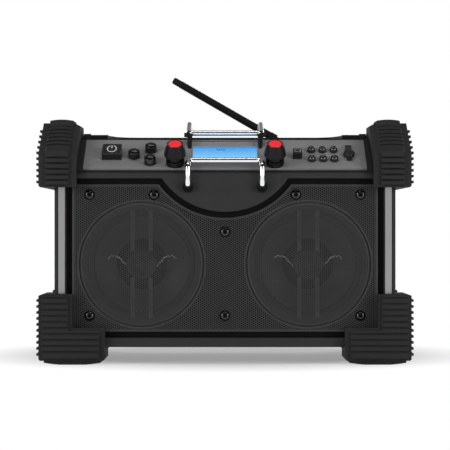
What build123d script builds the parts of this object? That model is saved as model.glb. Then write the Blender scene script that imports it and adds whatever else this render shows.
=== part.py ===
from build123d import *
import os
from math import atan2, cos, degrees, radians, sin, sqrt, tan

os.makedirs("parts", exist_ok=True)

# Jobsite radio. Millimetres, +Z up, front towards -Y, origin on the ground under the middle.

# --- driving dimensions -----------------------------------------------------------------

# Cabinet
body_width = 416.0  # outside, between the side walls
body_depth = 206.0  # front of the front frame to the back of the rear cover
ground_gap = 21.0  # underside of the cabinet above the ground
front_height = 213.0  # front frame, bottom edge to top edge
wall = 4.0  # moulded walls
frame_t = 8.0  # front frame thickness
cover_t = 6.0  # rear cover thickness
lip_set_back = 2.0  # lip above the front frame, behind the frame's face
lip_height = 5.3
slope_deg = 34.2  # control panel above the horizontal
panel_length = 66.5  # up the slope
panel_width = 347.0
panel_t = 3.0
rim_rise = 1.3  # deck rim above the panel's top edge
rim_depth = 22.0
well_drop = 8.0  # handle well below the deck rim
fit = 0.3  # clearance round parts that drop in

# Front frame and grille
post_width = 14.0  # side posts of the frame
bottom_rail = 11.3
top_rail = 7.0
apron_radius = 93.0
apron_drop = 41.0  # apron below the top rail
rail_strip_width = 9.2
rail_strip_inset = 0.9  # from the window's edge
rail_strip_t = 3.0
grille_gap = 7.0  # channel round the grille
grille_t = 1.2
grille_stand = 3.5  # grille face in front of the baffle
emboss_radius = 76.0
emboss_rise = 1.0
grille_screw_in = 21.4  # corner screws, in from the grille's sides
grille_screw_down = 13.0  # upper row, below its top edge
grille_screw_up = 19.7  # lower row, above its bottom edge
apron_screw_x = 86.8  # screws each side of the apron
apron_screw_down = 17.5  # screw below the apron's cut-out
baffle_t = 10.0

# Speakers
speaker_from_side = 106.0  # drivers' axes, in from the side walls
speaker_z = 122.0
speaker_rim = 75.0  # outside radius of the basket flange
cone_radius = 58.5
surround_width = 8.0
speaker_depth = 68.0
magnet_radius = 42.0
magnet_depth = 20.0
tweeter_radius = 19.0
tweeter_depth = 14.0
tweeter_step = 3.0  # rolled rim of the pod
tweeter_stand = 0.9  # in front of the baffle
bridge_spacing = 22.0
bridge_width = 4.4
bridge_t = 1.1

# Corner guards
guard_side = 18.6  # rubber beyond the side walls
guard_face = 9.9  # rubber in front of the frame and behind the cover
guard_over = 19.2  # rubber above the deck rim
crown = 4.6  # ribbed pads above the rubber's face, along their middle
pad_edge = 3.2  # and along their sides
side_rib = 3.1
side_rib_t = 3.0
top_guard_width = 46.1  # front pair
rear_guard_width = 35.0
top_guard_height = 81.2
top_guard_gap = 12.0  # between the front and the rear guard
front_brow = (40.2, 60.5)  # height and depth of the sloped part, as the front guards have it
rear_brow = (24.0, 32.0)
top_chamfer = (7.3, 3.7)  # inner top edge, across and down
brow_chamfer = 4.0  # inner edge of the slope
low_chamfer = 1.8  # edges nearest the ground
leg_chamfer = (4.9, 1.8)  # top of the foot guards' legs, across and down
foot_rise = 5.0  # foot face above the ground
leg_width = 41.1
leg_height = 81.0
foot_width = 80.6  # front pair
rear_foot_width = 72.0
foot_height = 40.0
foot_depth = 60.0
rib_pitch = 6.85  # on the upright faces of the top guards
rib_gap = 2.4
brow_pitch = 8.9  # on their slope and top
brow_gap = 3.2
tooth_pitch = 7.1
foot_pitch = 7.3
foot_ribs = 10

# Guard bars over the display
bar_radius = 3.5
bar_half_span = 45.3
bar_bend = 6.5
bar_running = 0.05  # radial clearance of bars, screws and pressed-in parts
bar_foot_drop = 18.0  # front bar's feet below the frame's top edge
bar_stand_off = 7.5  # front bar's legs in front of the frame
bar_knee_rise = 8.3  # where the legs lean back, above the frame's top edge
bar_cross = (4.0, 15.1)  # front cross bar behind the frame's face, and above its top edge
rear_foot_back = 95.0  # rear bar's feet behind the frame's face
rear_peak_rise = 22.2  # above the deck rim
rear_cross = (48.0, 6.6)  # rear cross bar behind the frame's face, and above the deck rim
post_up = 45.0  # posts' feet, up the panel
grommet_radius = 5.6
grommet_lip = 0.9

# Controls, as places on the panel: across from the middle in shares of its width, and up from its front edge
display_width = 79.0
display_height = 27.4
display_up = 25.2
lens_width = 83.0
lens_margin = 2.5
knob_x = 0.1758 * panel_width
knob_up = 10.7
knob_height = 16.3
knob_stand = 12.0  # underside of the knob above the panel
knob_skirt_radius = 13.5
knob_top_radius = 10.4
cap_radius = 8.7
shaft_radius = 3.0
collar_radius = 10.6
power_x = -0.4023 * panel_width
power_size = 23.9
power_up = 19.4
square_rise = 8.8  # square keys above the panel
square_corner = 1.6
key_edge = 1.0
source_x = 0.2579 * panel_width
source_size = 11.3
source_up = 21.9
round_radius = 7.2
round_rise = 8.0
dome_rise = 2.8
mode_x = -0.3231 * panel_width
seek_x = -0.2648 * panel_width
round_up = 26.6
seek_spacing = 28.0
preset_radius = 4.85
preset_rise = 3.4
preset_dome = 3.6
preset_x = 0.3078 * panel_width
preset_pitch = 13.85
preset_up = 18.8
preset_rows = 21.0
key_clearance = 0.25
key_travel = 1.2
key_play = 0.1  # between a key's flange and what stops it
flange = 1.6
board_depth = 11.0  # control board below the panel's face
aux_x = 0.4412 * panel_width
aux_up = 29.9
aux_radius = 7.1
aux_strap = 20.6  # cap centre to the pad behind the strap's hinge
aux_strap_width = 7.6
aux_tab = 6.4
led_x = -0.4513 * panel_width
led_up = 15.8
led_radius = 1.6

# Carry handle
handle_section = 15.0
handle_pivot_back = 19.1  # pivot behind the deck rim
handle_in_front = 5.4  # grip in front of the antenna's foot
handle_side_gap = 7.1  # between the arms and the ears
handle_corner = 34.0
ear_t = 8.6
ear_inset = 0.3
ear_over = 1.1  # ears above the handle's arms
trunnion_radius = 4.0
running = 0.06  # radial clearance of turning parts
scoop_width = 110.0  # finger scoop under the grip
scoop_depth = 13.0
scoop_in_front = 16.0  # tray's front edge in front of the grip
scoop_behind = 9.0  # tray's back edge to the cabinet's back edge

# Antenna
antenna_x = 74.9
antenna_back = 9.0  # in front of the cabinet's back edge
antenna_pivot_rise = 10.6
antenna_foot_radius = 8.6
antenna_lean = 29.9  # whip above the horizontal
antenna_length = 166.0
antenna_radius = 4.9
knuckle_radius = 5.4
knuckle_t = 7.4
antenna_pin = 2.0

# Back
bay_width = 122.0
bay_height = 78.0
bay_z = 62.0
bay_depth = 41.5
bay_wall = 2.5
door_t = 3.0
door_lap = 5.0
door_pin = 1.2
inlet_from_side = 80.0  # in from the right side wall
inlet_z = 64.0
inlet_width = 34.0
inlet_height = 26.0
inlet_depth = 14.0
rib_count = 6  # strengthening ribs each side of the bay
rib_spacing = 9.0
rib_t = 3.0
rib_rise = 2.0
screw_head = 5.5
screw_head_t = 2.8
screw_shank = 2.0
screw_reach = 9.0
main_board_x = 80.0
main_board_y = (-60.0, 40.0)
board_rise = 6.0
board_t = 1.6
board_post_inset = 10.0
heat_sink = (35.0, 7.0, 3.0, 26.0)  # width, fin pitch, fin thickness, height
capacitor_height = 18.0
capacitor_radius = (9.0, 6.0)

# --- derived places ---------------------------------------------------------------------

half_w = body_width / 2
front_y = -body_depth / 2
back_y = body_depth / 2
cab_front = front_y + frame_t
cab_back = back_y - cover_t
base_z = ground_gap
frame_top = base_z + front_height
lip_y = front_y + lip_set_back
panel_z = frame_top + lip_height
slope = radians(slope_deg)
panel_back_y = lip_y + panel_length * cos(slope)
panel_back_z = panel_z + panel_length * sin(slope)
rim_z = panel_back_z + rim_rise
rim_front_y = panel_back_y + rim_rise / tan(slope)
rim_back_y = rim_front_y + rim_depth
well_z = rim_z - well_drop
panel = Plane(origin=(0, lip_y, panel_z), x_dir=(1, 0, 0), z_dir=(0, -sin(slope), cos(slope)))
leg_top = foot_rise + leg_height
guard_x = half_w + guard_side
guard_front = front_y - guard_face
guard_top = rim_z + guard_over
top_low = guard_top - top_guard_height
top_inner = guard_x - top_guard_width
rear_inner = guard_x - rear_guard_width
ear_outer = top_inner - ear_inset
handle_half_width = ear_outer - ear_t - handle_side_gap
antenna_y = cab_back - antenna_back
handle_pivot_y = rim_back_y + handle_pivot_back
handle_reach = antenna_y - antenna_foot_radius - handle_in_front - handle_pivot_y  # to the grip's far edge
front_bar_z = frame_top - bar_foot_drop
hoop_foot_y = front_y + rear_foot_back
window_top = frame_top - top_rail
window_bottom = base_z + bottom_rail
window_half = half_w - post_width
speaker_x = half_w - speaker_from_side
apron_z = window_top - apron_drop + apron_radius


def span(x, y, z):
    """Box from three (low, high) pairs."""
    size = [b - a for a, b in (x, y, z)]
    middle = [(a + b) / 2 for a, b in (x, y, z)]
    return Pos(*middle) * Box(*size)


def side_profile(points, half):
    """Solid with this outline in Y and Z, from -half to half in X."""
    outline = make_face(Plane.YZ * Polyline(*points, close=True))
    return extrude(outline, amount=half, both=True)


def front_profile(outline, y0, y1):
    """A sketch drawn in X and Z, made solid from y0 to y1."""
    return extrude(Plane(origin=(0, y1, 0), x_dir=(1, 0, 0), z_dir=(0, -1, 0)) * outline, amount=y1 - y0)


def along_y(radius, y0, y1, x=0.0, z=0.0):
    """Round bar along Y."""
    return Pos(x, (y0 + y1) / 2, z) * Rot(90, 0, 0) * Cylinder(radius, y1 - y0)


def along_x(radius, x0, x1, y=0.0, z=0.0):
    """Round bar along X."""
    return Pos((x0 + x1) / 2, y, z) * Rot(0, 90, 0) * Cylinder(radius, x1 - x0)


def on_panel(x, up, low, high, radius):
    """Round bar square to the control panel."""
    return panel * Pos(x, up, (low + high) / 2) * Cylinder(radius, high - low)


def panel_box(x, up, height):
    """Box in the control panel's own directions."""
    return panel * span(x, up, height)


def turned(points, y_axis_x=0.0, y_axis_z=0.0):
    """Solid of revolution about a line along Y, from (radius, y) points."""
    outline = make_face(Plane.XY * Polyline(*points, close=True))
    return Pos(y_axis_x, 0, y_axis_z) * revolve(outline, Axis.Y)


def panel_turned(x, up, points):
    """Solid of revolution about a line square to the panel, from (radius, height) points."""
    outline = make_face(Plane.XZ * Polyline(*points, close=True))
    return panel * Pos(x, up, 0) * revolve(outline, Axis.Z)


def save(name, *solids):
    """Write one node, as one solid or a group of separate solids."""
    pieces = [s for part in solids for s in part.solids()]
    export_step(pieces[0] if len(pieces) == 1 else Compound(children=pieces), f"parts/{name}.step")


def pair(solid):
    """The solid and its mirror image across the middle."""
    return [solid, mirror(solid, Plane.YZ)]


# --- cabinet ----------------------------------------------------------------------------


def body_outline(extra):
    """Side outline of the closed cabinet. The front and back move out by the frame and the cover."""
    return [
        (cab_front - extra * frame_t, base_z),
        (cab_front - extra * frame_t, frame_top),
        (lip_y, frame_top),
        (lip_y, panel_z),
        (rim_front_y, rim_z),
        (rim_back_y, rim_z),
        (rim_back_y + well_drop * 0.7, well_z),
        (cab_back + extra * cover_t, well_z),
        (cab_back + extra * cover_t, base_z),
    ]


envelope = side_profile(body_outline(1), half_w)
baffle_top = frame_top - wall
baffle_back = cab_front + baffle_t
slope_wall = panel_t + wall
scoop_half = scoop_width / 2
scoop_y = (handle_pivot_y + handle_reach - handle_section - scoop_in_front, cab_back - scoop_behind)
ledge_t = 6.0  # ledge that the control panel rests on
board_posts = [
    (side * (main_board_x - board_post_inset), y)
    for side in (-1, 1)
    for y in (main_board_y[0] + board_post_inset, main_board_y[1] - board_post_inset)
]
pivot_z = well_z + handle_section / 2 + fit
ear_radius = pivot_z - well_z + ear_over


def make_cabinet():
    drop = slope_wall / cos(slope)
    beam_y = cab_front + 5.0
    roof = rim_z - wall
    hollow = side_profile(
        [
            (cab_front - 1, base_z + wall),
            (cab_front - 1, baffle_top),
            (beam_y, baffle_top),
            (beam_y, panel_z + (beam_y - lip_y) * tan(slope) - drop),
            (lip_y + (roof + drop - panel_z) / tan(slope), roof),
            (rim_back_y - wall, roof),
            (rim_back_y - wall, well_z - wall),
            (cab_back + 1, well_z - wall),
            (cab_back + 1, base_z + wall),
        ],
        half_w - wall,
    )
    shell = side_profile(body_outline(0), half_w) - hollow
    seat = panel_width / 2 + fit
    shell -= panel_box((-seat, seat), (-10, panel_length + fit), (-panel_t, 20))
    ledge = panel_width / 2 - ledge_t
    shell -= panel_box((-ledge, ledge), (3.5, panel_length - ledge_t), (-slope_wall - 2, 1))
    # finger scoop in the floor of the handle well, in a tray with its own walls
    near, far, floor = scoop_y[0] + wall, scoop_y[1] - wall, well_z - scoop_depth
    tray = span((-scoop_half - wall, scoop_half + wall), scoop_y, (floor - wall, well_z - 1))
    scoop = side_profile(
        [(near, well_z + 1), (near, floor + 6), (near + 6, floor), (far - 11, floor), (far, well_z + 1)],
        scoop_half,
    )
    shell = shell + tray - scoop
    for side in (-1, 1):
        inner, outer = sorted((side * (ear_outer - ear_t), side * ear_outer))
        ear = along_x(ear_radius, inner, outer, handle_pivot_y, pivot_z)
        ear_y = (handle_pivot_y - ear_radius, handle_pivot_y + ear_radius)
        skirt = span((inner, outer), ear_y, (well_z - 1, pivot_z))
        shell += ear + skirt
        shell -= along_x(trunnion_radius + running, inner - 1, outer + 1, handle_pivot_y, pivot_z)
        # shallow side panel between the corner guards
        low, high = sorted((side * (half_w - 1.2), side * (half_w + 1)))
        shell -= span((low, high), (-38, 38), (leg_top + 10, top_low - 16))
    for x in (-1, 1):
        shell -= on_hoop_foot(x * bar_half_span)
    for x, y in board_posts:
        shell += Pos(x, y, base_z + wall + board_rise / 2) * Cylinder(4, board_rise)
    return shell


def on_hoop_foot(x):
    """Hole in the deck for the rear guard bar's grommet."""
    return Pos(x, hoop_foot_y, well_z - wall) * Cylinder(grommet_radius, 3 * wall)


# --- front frame, rails, baffle, grille ---------------------------------------------------


def rectangle(x, z):
    """Flat rectangle in X and Z."""
    return Pos((x[0] + x[1]) / 2, (z[0] + z[1]) / 2) * Rectangle(x[1] - x[0], z[1] - z[0])


def make_front_frame():
    outline = rectangle((-half_w, half_w), (base_z, frame_top))
    window = rectangle((-window_half, window_half), (window_bottom, window_top))
    apron = Pos(0, apron_z) * Circle(apron_radius)
    frame = front_profile(outline - (window - apron), front_y, cab_front)
    for strip in rail_strips(fit):
        frame -= strip
    for x in (-bar_half_span, bar_half_span):
        frame -= along_y(grommet_radius, front_y - 1, cab_front + 1, x, front_bar_z)
    return frame


def rail_strips(gap):
    """The two metal strips, or with a gap the channels that they lie in."""
    near = window_half + rail_strip_inset
    strip = span(
        (near - gap, near + rail_strip_width + gap),
        (front_y - (1 if gap else 0), front_y + rail_strip_t),
        (window_bottom - 6 - gap, window_top + 4 + gap),
    )
    return pair(strip)


def make_side_rails():
    strip = rail_strips(0)[0]
    strip = chamfer(strip.edges().filter_by(Axis.Z).group_by(Axis.Y)[0], 0.8)
    return pair(strip)


grille_half = window_half - grille_gap
grille_low = window_bottom + grille_gap
grille_high = window_top - grille_gap
grille_y = cab_front - grille_stand
grille_screws_at = [
    (x * side, z)
    for side in (-1, 1)
    for x, z in (
        (grille_half - grille_screw_in, grille_high - grille_screw_down),
        (apron_screw_x, grille_high - grille_screw_down),
        (grille_half - grille_screw_in, grille_low + grille_screw_up),
    )
]
grille_screws_at += [
    (0.0, apron_z - apron_radius - grille_gap - apron_screw_down),
    (0.0, grille_low + grille_screw_up),
]


def make_baffle():
    board = span(
        (-half_w + wall + fit, half_w - wall - fit),
        (cab_front, baffle_back),
        (base_z + wall + fit, baffle_top - fit),
    )
    for side in (-1, 1):
        x = side * speaker_x
        board -= along_y(speaker_rim + fit, cab_front - 1, cab_front + 3, x, speaker_z)
        board -= along_y(speaker_rim - 6, cab_front - 1, baffle_back + 1, x, speaker_z)
        board -= along_y(bar_radius + 1.5, cab_front - 1, cab_front + 5, side * bar_half_span, front_bar_z)
    for x, z in grille_screws_at:
        board -= along_y(screw_shank + bar_running, cab_front - 1, cab_front + screw_reach, x, z)
    return board


def grille_outline(shrink):
    half = grille_half - shrink
    plate = rectangle((-half, half), (grille_low + shrink, grille_high - shrink))
    return plate - Pos(0, apron_z) * Circle(apron_radius + grille_gap + shrink)


def make_grille():
    rim = front_profile(grille_outline(0), grille_y, cab_front)
    sheet = rim - front_profile(grille_outline(grille_t), grille_y + grille_t, cab_front + 1)
    for side in (-1, 1):
        disc = [
            (0, grille_y - emboss_rise),
            (emboss_radius - 1.5, grille_y - emboss_rise),
            (emboss_radius, grille_y + 0.1),
            (emboss_radius, grille_y + grille_t),
            (0, grille_y + grille_t),
        ]
        hollow = [
            (0, grille_y - emboss_rise + grille_t),
            (emboss_radius - 2.2, grille_y - emboss_rise + grille_t),
            (emboss_radius - 1.2, grille_y + grille_t + 1),
            (0, grille_y + grille_t + 1),
        ]
        x = side * speaker_x
        sheet = sheet + turned(disc, x, speaker_z) - turned(hollow, x, speaker_z)
    for x, z in grille_screws_at:
        boss = along_y(screw_head + 1, grille_y + grille_t - 0.1, cab_front, x, z)
        sheet = sheet + boss - along_y(screw_shank + bar_running, grille_y - 1, cab_front + 1, x, z)
    return sheet


def socket_screw(x, z, y, direction):
    """Button-head screw along Y with its head outside the face at y, driven in the given direction."""
    def at(radius, near, far):
        y0, y1 = sorted((y + near * direction, y + far * direction))
        return along_y(radius, y0, y1, x, z)

    head = at(screw_head, -screw_head_t, 0)
    face = y - screw_head_t * direction
    rim = head.edges().filter_by(GeomType.CIRCLE).sort_by(lambda e: abs(e.center().Y - face))[0]
    head = fillet(rim, 1.4)
    return head + at(screw_shank, 0, screw_reach) - at(1.6, -screw_head_t - 1, -1.2)


# --- speakers -----------------------------------------------------------------------------


def make_speaker(side):
    x, z = side * speaker_x, speaker_z
    flange_y = cab_front + 3.0
    inner = cone_radius + surround_width
    pot_y = cab_front + speaker_depth - magnet_depth
    pot_radius = magnet_radius - 8
    basket = turned(
        [
            (inner, cab_front),
            (speaker_rim, cab_front),
            (speaker_rim, flange_y),
            (speaker_rim - 6.5, flange_y),
            (pot_radius + 2, pot_y),
            (14, pot_y),
            (14, pot_y - 2.5),
            (pot_radius, pot_y - 2.5),
            (inner, flange_y),
        ],
        x,
        z,
    )
    for k in range(4):
        vent = span((16, 34), (flange_y + 6, pot_y - 6), (16, 34))
        basket -= Pos(x, 0, z) * Rot(0, 90 * k, 0) * vent
    cone_y = cab_front + 1.6
    apex_y = cone_y + 26.0
    cone = turned(
        [
            (cone_radius - fit, cone_y),
            (cone_radius - fit, cone_y + 1.2),
            (15, apex_y + 1.2),
            (13.5, apex_y + 1.2),
            (13.5, pot_y - 2.5 + magnet_depth * 0.5),
            (12.2, pot_y - 2.5 + magnet_depth * 0.5),
            (12.2, apex_y),
        ],
        x,
        z,
    )
    roll = [(cone_radius, cone_y + 0.9), (cone_radius, cone_y - 0.3)]
    for k in range(1, 8):
        turn = radians(180 - 180 * k / 8)
        middle = cone_radius + surround_width / 2
        roll.append((middle + (surround_width / 2 - 1) * cos(turn), cone_y - 0.3 - 2.4 * sin(turn) + 1.2))
    roll += [(inner - 0.1, cone_y - 0.3), (inner - 0.1, cone_y + 0.9)]
    surround = turned(roll, x, z)
    magnet = along_y(magnet_radius, pot_y, pot_y + magnet_depth, x, z)
    magnet -= along_y(14, pot_y - 1, pot_y + magnet_depth - 3, x, z)
    magnet = chamfer(magnet.edges().filter_by(GeomType.CIRCLE).sort_by(Axis.Y)[-1], 2)
    return basket, cone, surround, magnet


def make_tweeter(side):
    """Tweeter pod on a two-bar bridge across the front of the basket."""
    x, z = side * speaker_x, speaker_z
    y0, back = cab_front - tweeter_stand, cab_front - tweeter_stand + tweeter_depth
    pod = turned(
        [
            (0, y0),
            (tweeter_radius * 0.3, y0 - 0.4),
            (tweeter_radius - tweeter_step * 1.3, y0),
            (tweeter_radius, y0 + tweeter_step),
            (tweeter_radius - tweeter_step, back - tweeter_step * 0.7),
            (0, back),
        ],
        x,
        z,
    )
    reach = cone_radius + surround_width + 3
    for bar in (-1, 1):
        bar_x = x + bar * bridge_spacing / 2
        across = (bar_x - bridge_width / 2, bar_x + bridge_width / 2)
        pod += span(across, (cab_front - bridge_t, cab_front), (z - reach, z + reach))
    return pod


# --- control panel and what it carries ----------------------------------------------------

knob_places = {"volume": -knob_x, "tuning": knob_x}
round_keys = {
    "mode_button": (mode_x, round_up, round_radius, round_rise, dome_rise),
    "seek_up_button": (seek_x, round_up + seek_spacing / 2, round_radius, round_rise, dome_rise),
    "seek_down_button": (seek_x, round_up - seek_spacing / 2, round_radius, round_rise, dome_rise),
}
for n in range(6):
    column, row = n % 3, n // 3
    round_keys[f"preset_button_{n + 1}"] = (
        preset_x + column * preset_pitch,
        preset_up + (1 - row) * preset_rows,
        preset_radius,
        preset_rise,
        preset_dome,
    )
square_keys = {
    "power_button": (power_x, power_up, power_size),
    "source_button": (source_x, source_up, source_size),
}
board_x = panel_width / 2 - 8.5
board_up = (7.0, panel_length - 6.5)
post_places = [(x, up) for x in (-board_x + 4, board_x - 4) for up in (board_up[0] + 4, board_up[1] - 4)]
post_places += [(x, board_up[1] - 4) for x in (-knob_x - 9, knob_x + 9)]


def make_panel():
    plate = panel_box((-panel_width / 2, panel_width / 2), (0, panel_length), (-panel_t, 0))
    window = (display_width / 2 + fit, display_up - fit, display_up + display_height + fit)
    plate -= panel_box((-window[0], window[0]), window[1:], (-panel_t - 1, 1))
    lens = lens_width / 2 + fit
    plate -= panel_box((-lens, lens), (lens_margin - fit, panel_length - lens_margin + fit), (-1.6, 1))
    for x in knob_places.values():
        plate -= on_panel(x, knob_up, -panel_t - 1, 1, shaft_radius + 1.5)
    for x, up, radius, _, _ in round_keys.values():
        plate -= on_panel(x, up, -panel_t - 1, 1, radius + key_clearance)
    for x, up, size in square_keys.values():
        half = size / 2 + key_clearance
        middle = up + size / 2
        plate -= panel_box((x - half, x + half), (middle - half, middle + half), (-panel_t - 1, 1))
    plate -= on_panel(aux_x, aux_up, -panel_t - 1, 1, 5.0 + bar_running)
    plate -= on_panel(led_x, led_up, -panel_t - 1, 1, led_radius + bar_running)
    for x, up in post_places:
        plate += on_panel(x, up, -board_depth, -panel_t + 0.5, 2.6)
    return plate


def make_round_key(x, up, radius, rise, dome):
    ball = (radius**2 + dome**2) / (2 * dome)
    body = on_panel(x, up, -panel_t - flange, rise, radius)
    top = panel * Pos(x, up, rise + dome - ball) * Sphere(ball)
    top &= on_panel(x, up, rise - 0.1, rise + dome + 1, radius)
    return body + top + on_panel(x, up, -panel_t - flange, -panel_t - key_play, radius + 1.0)


def make_square_key(x, up, size):
    """Tall square key with softened corners, on a flange that stays under the panel."""
    half, foot = size / 2, -panel_t - flange
    body = span((x - half, x + half), (up, up + size), (foot, square_rise))
    body = fillet(body.edges().filter_by(Axis.Z), square_corner)
    body = fillet(body.faces().sort_by(Axis.Z)[-1].edges(), key_edge)
    skirt = span((x - half - 1, x + half + 1), (up - 1, up + size + 1), (foot, -panel_t - key_play))
    return panel * (body + skirt)


def make_knob(x):
    """Rubber grip, bored for the shaft, with a seat for its cap."""
    low, high = knob_stand, knob_stand + knob_height
    grip = panel_turned(
        x,
        knob_up,
        [
            (0, low),
            (knob_skirt_radius - 1.2, low),
            (knob_skirt_radius, low + 1.4),
            (knob_skirt_radius - 0.5, low + 5.5),
            (knob_top_radius + 0.9, high - 3.0),
            (knob_top_radius, high - 0.6),
            (knob_top_radius - 0.6, high),
            (0, high),
        ],
    )
    grip -= on_panel(x, knob_up, high - 1.6, high + 1, cap_radius + bar_running)
    grip -= on_panel(x, knob_up, low - 1, high - 4, shaft_radius + bar_running)
    return grip


def make_knob_cap(x):
    high = knob_stand + knob_height
    cap = on_panel(x, knob_up, high - 1.6, high + 0.4, cap_radius)
    return chamfer(cap.faces().sort_by(Axis.Z)[-1].edges(), 0.4)


def make_collar(x):
    return panel_turned(
        x,
        knob_up,
        [
            (shaft_radius + 0.4, 0),
            (collar_radius - 1.3, 0),
            (collar_radius - 0.8, 1.0),
            (collar_radius - 0.5, 3.9),
            (collar_radius - 1.3, 4.3),
            (collar_radius - 1.3, 4.9),
            (collar_radius, 5.3),
            (collar_radius, 6.3),
            (collar_radius - 0.6, 6.8),
            (collar_radius - 0.6, knob_stand - fit),
            (shaft_radius + 0.4, knob_stand - fit),
        ],
    )


def make_shaft(x):
    """Encoder shaft, with a foot that turns inside the encoder."""
    high = knob_stand + knob_height - 4
    return on_panel(x, knob_up, -board_depth + 3, high, shaft_radius)


def make_control_board():
    board = panel_box((-board_x, board_x), board_up, (-board_depth - board_t, -board_depth))
    for x in knob_places.values():
        half = 5.5
        can_up = (board_up[0] + 0.3, knob_up + half)
        can = panel_box((x - half, x + half), can_up, (-board_depth - 0.1, -panel_t - 1.5))
        board = board + can - on_panel(x, knob_up, -board_depth + 3, 0, shaft_radius + running)
    # a switch under each key ends its travel
    stop = -panel_t - flange - key_travel - key_play
    keys = [(x, up) for x, up, *_ in round_keys.values()]
    keys += [(x, up + size / 2) for x, up, size in square_keys.values()]
    for x, up in keys:
        board += on_panel(x, up, -board_depth - 0.1, stop, 2.2)
    chip = panel_box((12, 26), (34, 48), (-board_depth - 3.2, -board_depth - board_t + 0.1))
    return board + chip


def make_lcd():
    return panel_box(
        (-display_width / 2, display_width / 2),
        (display_up, display_up + display_height),
        (-board_depth + 0.05, -1.6 - 0.1),
    )


def make_lens():
    lens = panel_box(
        (-lens_width / 2, lens_width / 2), (lens_margin, panel_length - lens_margin), (-1.6, 0.4)
    )
    return lens


def make_aux_socket():
    socket = panel_turned(
        aux_x,
        aux_up,
        [(2.6, 0.6), (5.0, 0.6), (5.0, -panel_t), (6.5, -panel_t), (6.5, -board_depth), (2.6, -board_depth)],
    )
    return socket


def make_aux_cover():
    """Rubber cap with a plug, a pull tab and a strap."""
    low, high = 0.7, 4.6
    cap = on_panel(aux_x, aux_up, low, high, aux_radius)
    cap = fillet(cap.faces().sort_by(Axis.Z)[-1].edges(), 1.2)
    half = aux_strap_width / 2
    tab = panel_box((aux_x - 3.3, aux_x + 3.3), (aux_up - aux_radius - aux_tab, aux_up), (low, low + 2.2))
    strap = panel_box((aux_x - half, aux_x + half), (aux_up, aux_up + aux_strap - 1.4), (low, low + 2.0))
    barrel = Rot(0, 90, 0) * Cylinder(1.0, aux_strap_width)
    hinge = panel * Pos(aux_x, aux_up + aux_strap - 1.4, low + 1.0) * barrel
    plug = on_panel(aux_x, aux_up, -3.0, low + 0.2, 1.7)
    return cap + tab + strap + hinge + plug


def make_aux_hinge_pad():
    """Raised pad on the panel that holds the strap's end."""
    half, start = aux_strap_width / 2, aux_up + aux_strap
    return panel_box((aux_x - half, aux_x + half), (start, start + 1.8), (-0.5, 2.4))


# --- guard bars ---------------------------------------------------------------------------

rear_bar = (front_y + rear_cross[0], rim_z + rear_cross[1])


def hoop(points, radius=bar_radius):
    """Bent round bar through these points on the right, mirrored to the left."""
    right = [Vector(bar_half_span, y, z) for y, z in points]
    left = [Vector(-p.X, p.Y, p.Z) for p in reversed(right)]
    path = FilletPolyline(*right, *left, radius=bar_bend)
    start = Plane(origin=right[0], z_dir=path % 0)
    return sweep(start * Circle(radius), path=path)


def make_front_bar():
    leg_y = front_y - bar_stand_off
    knee = (leg_y, frame_top + bar_knee_rise)
    cross = (front_y + bar_cross[0], frame_top + bar_cross[1])
    return hoop([(cab_front + 4, front_bar_z), (leg_y, front_bar_z), knee, cross])


def make_rear_bar(radius=bar_radius):
    return hoop([(hoop_foot_y, well_z - 3), (hoop_foot_y, rim_z + rear_peak_rise), rear_bar], radius)


def make_grommets():
    made = []
    for x in (-bar_half_span, bar_half_span):
        sleeve = along_y(grommet_radius - bar_running, front_y, cab_front, x, front_bar_z)
        collar = along_y(grommet_radius + grommet_lip, front_y - 1.6, front_y, x, front_bar_z)
        bore = along_y(bar_radius + bar_running, front_y - 3, cab_front + 1, x, front_bar_z)
        made.append(sleeve + collar - bore)
        foot = Pos(x, hoop_foot_y, well_z - wall / 2) * Cylinder(grommet_radius - bar_running, wall)
        boot = Pos(x, hoop_foot_y, well_z + 1.5) * Cylinder(grommet_radius + grommet_lip, 3.0)
        made.append(foot + boot - Pos(x, hoop_foot_y, well_z) * Cylinder(bar_radius + bar_running, 20))
    return made


def make_posts():
    """Black posts that lean forward and hold the rear bar off the panel."""
    x = lens_width / 2 + 2.5
    head = Pos(x + 2.0, rear_bar[0], rear_bar[1] - 2.2) * Cylinder(5.0, 5.2)
    foot = panel.from_local_coords(Vector(x, post_up, -3.0))
    lean = Vector(x, rear_bar[0], rear_bar[1] - 4) - foot
    stem = Plane(origin=foot, z_dir=lean) * Pos(0, 0, lean.length / 2) * Cone(2.2, 3.4, lean.length)
    post = head + stem
    post -= panel_box((0, 2 * x), (0, panel_length), (-panel_t - 2, 0.0))
    post -= panel_box((0, lens_width / 2 + 0.1), (0, panel_length), (-1, 0.45))
    post -= make_rear_bar(bar_radius + bar_running)
    return pair(post)


# --- corner guards --------------------------------------------------------------------------

pad_in, pad_out = 9.0, 8.3  # ribbed pads from the guards' inner and outer faces


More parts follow.
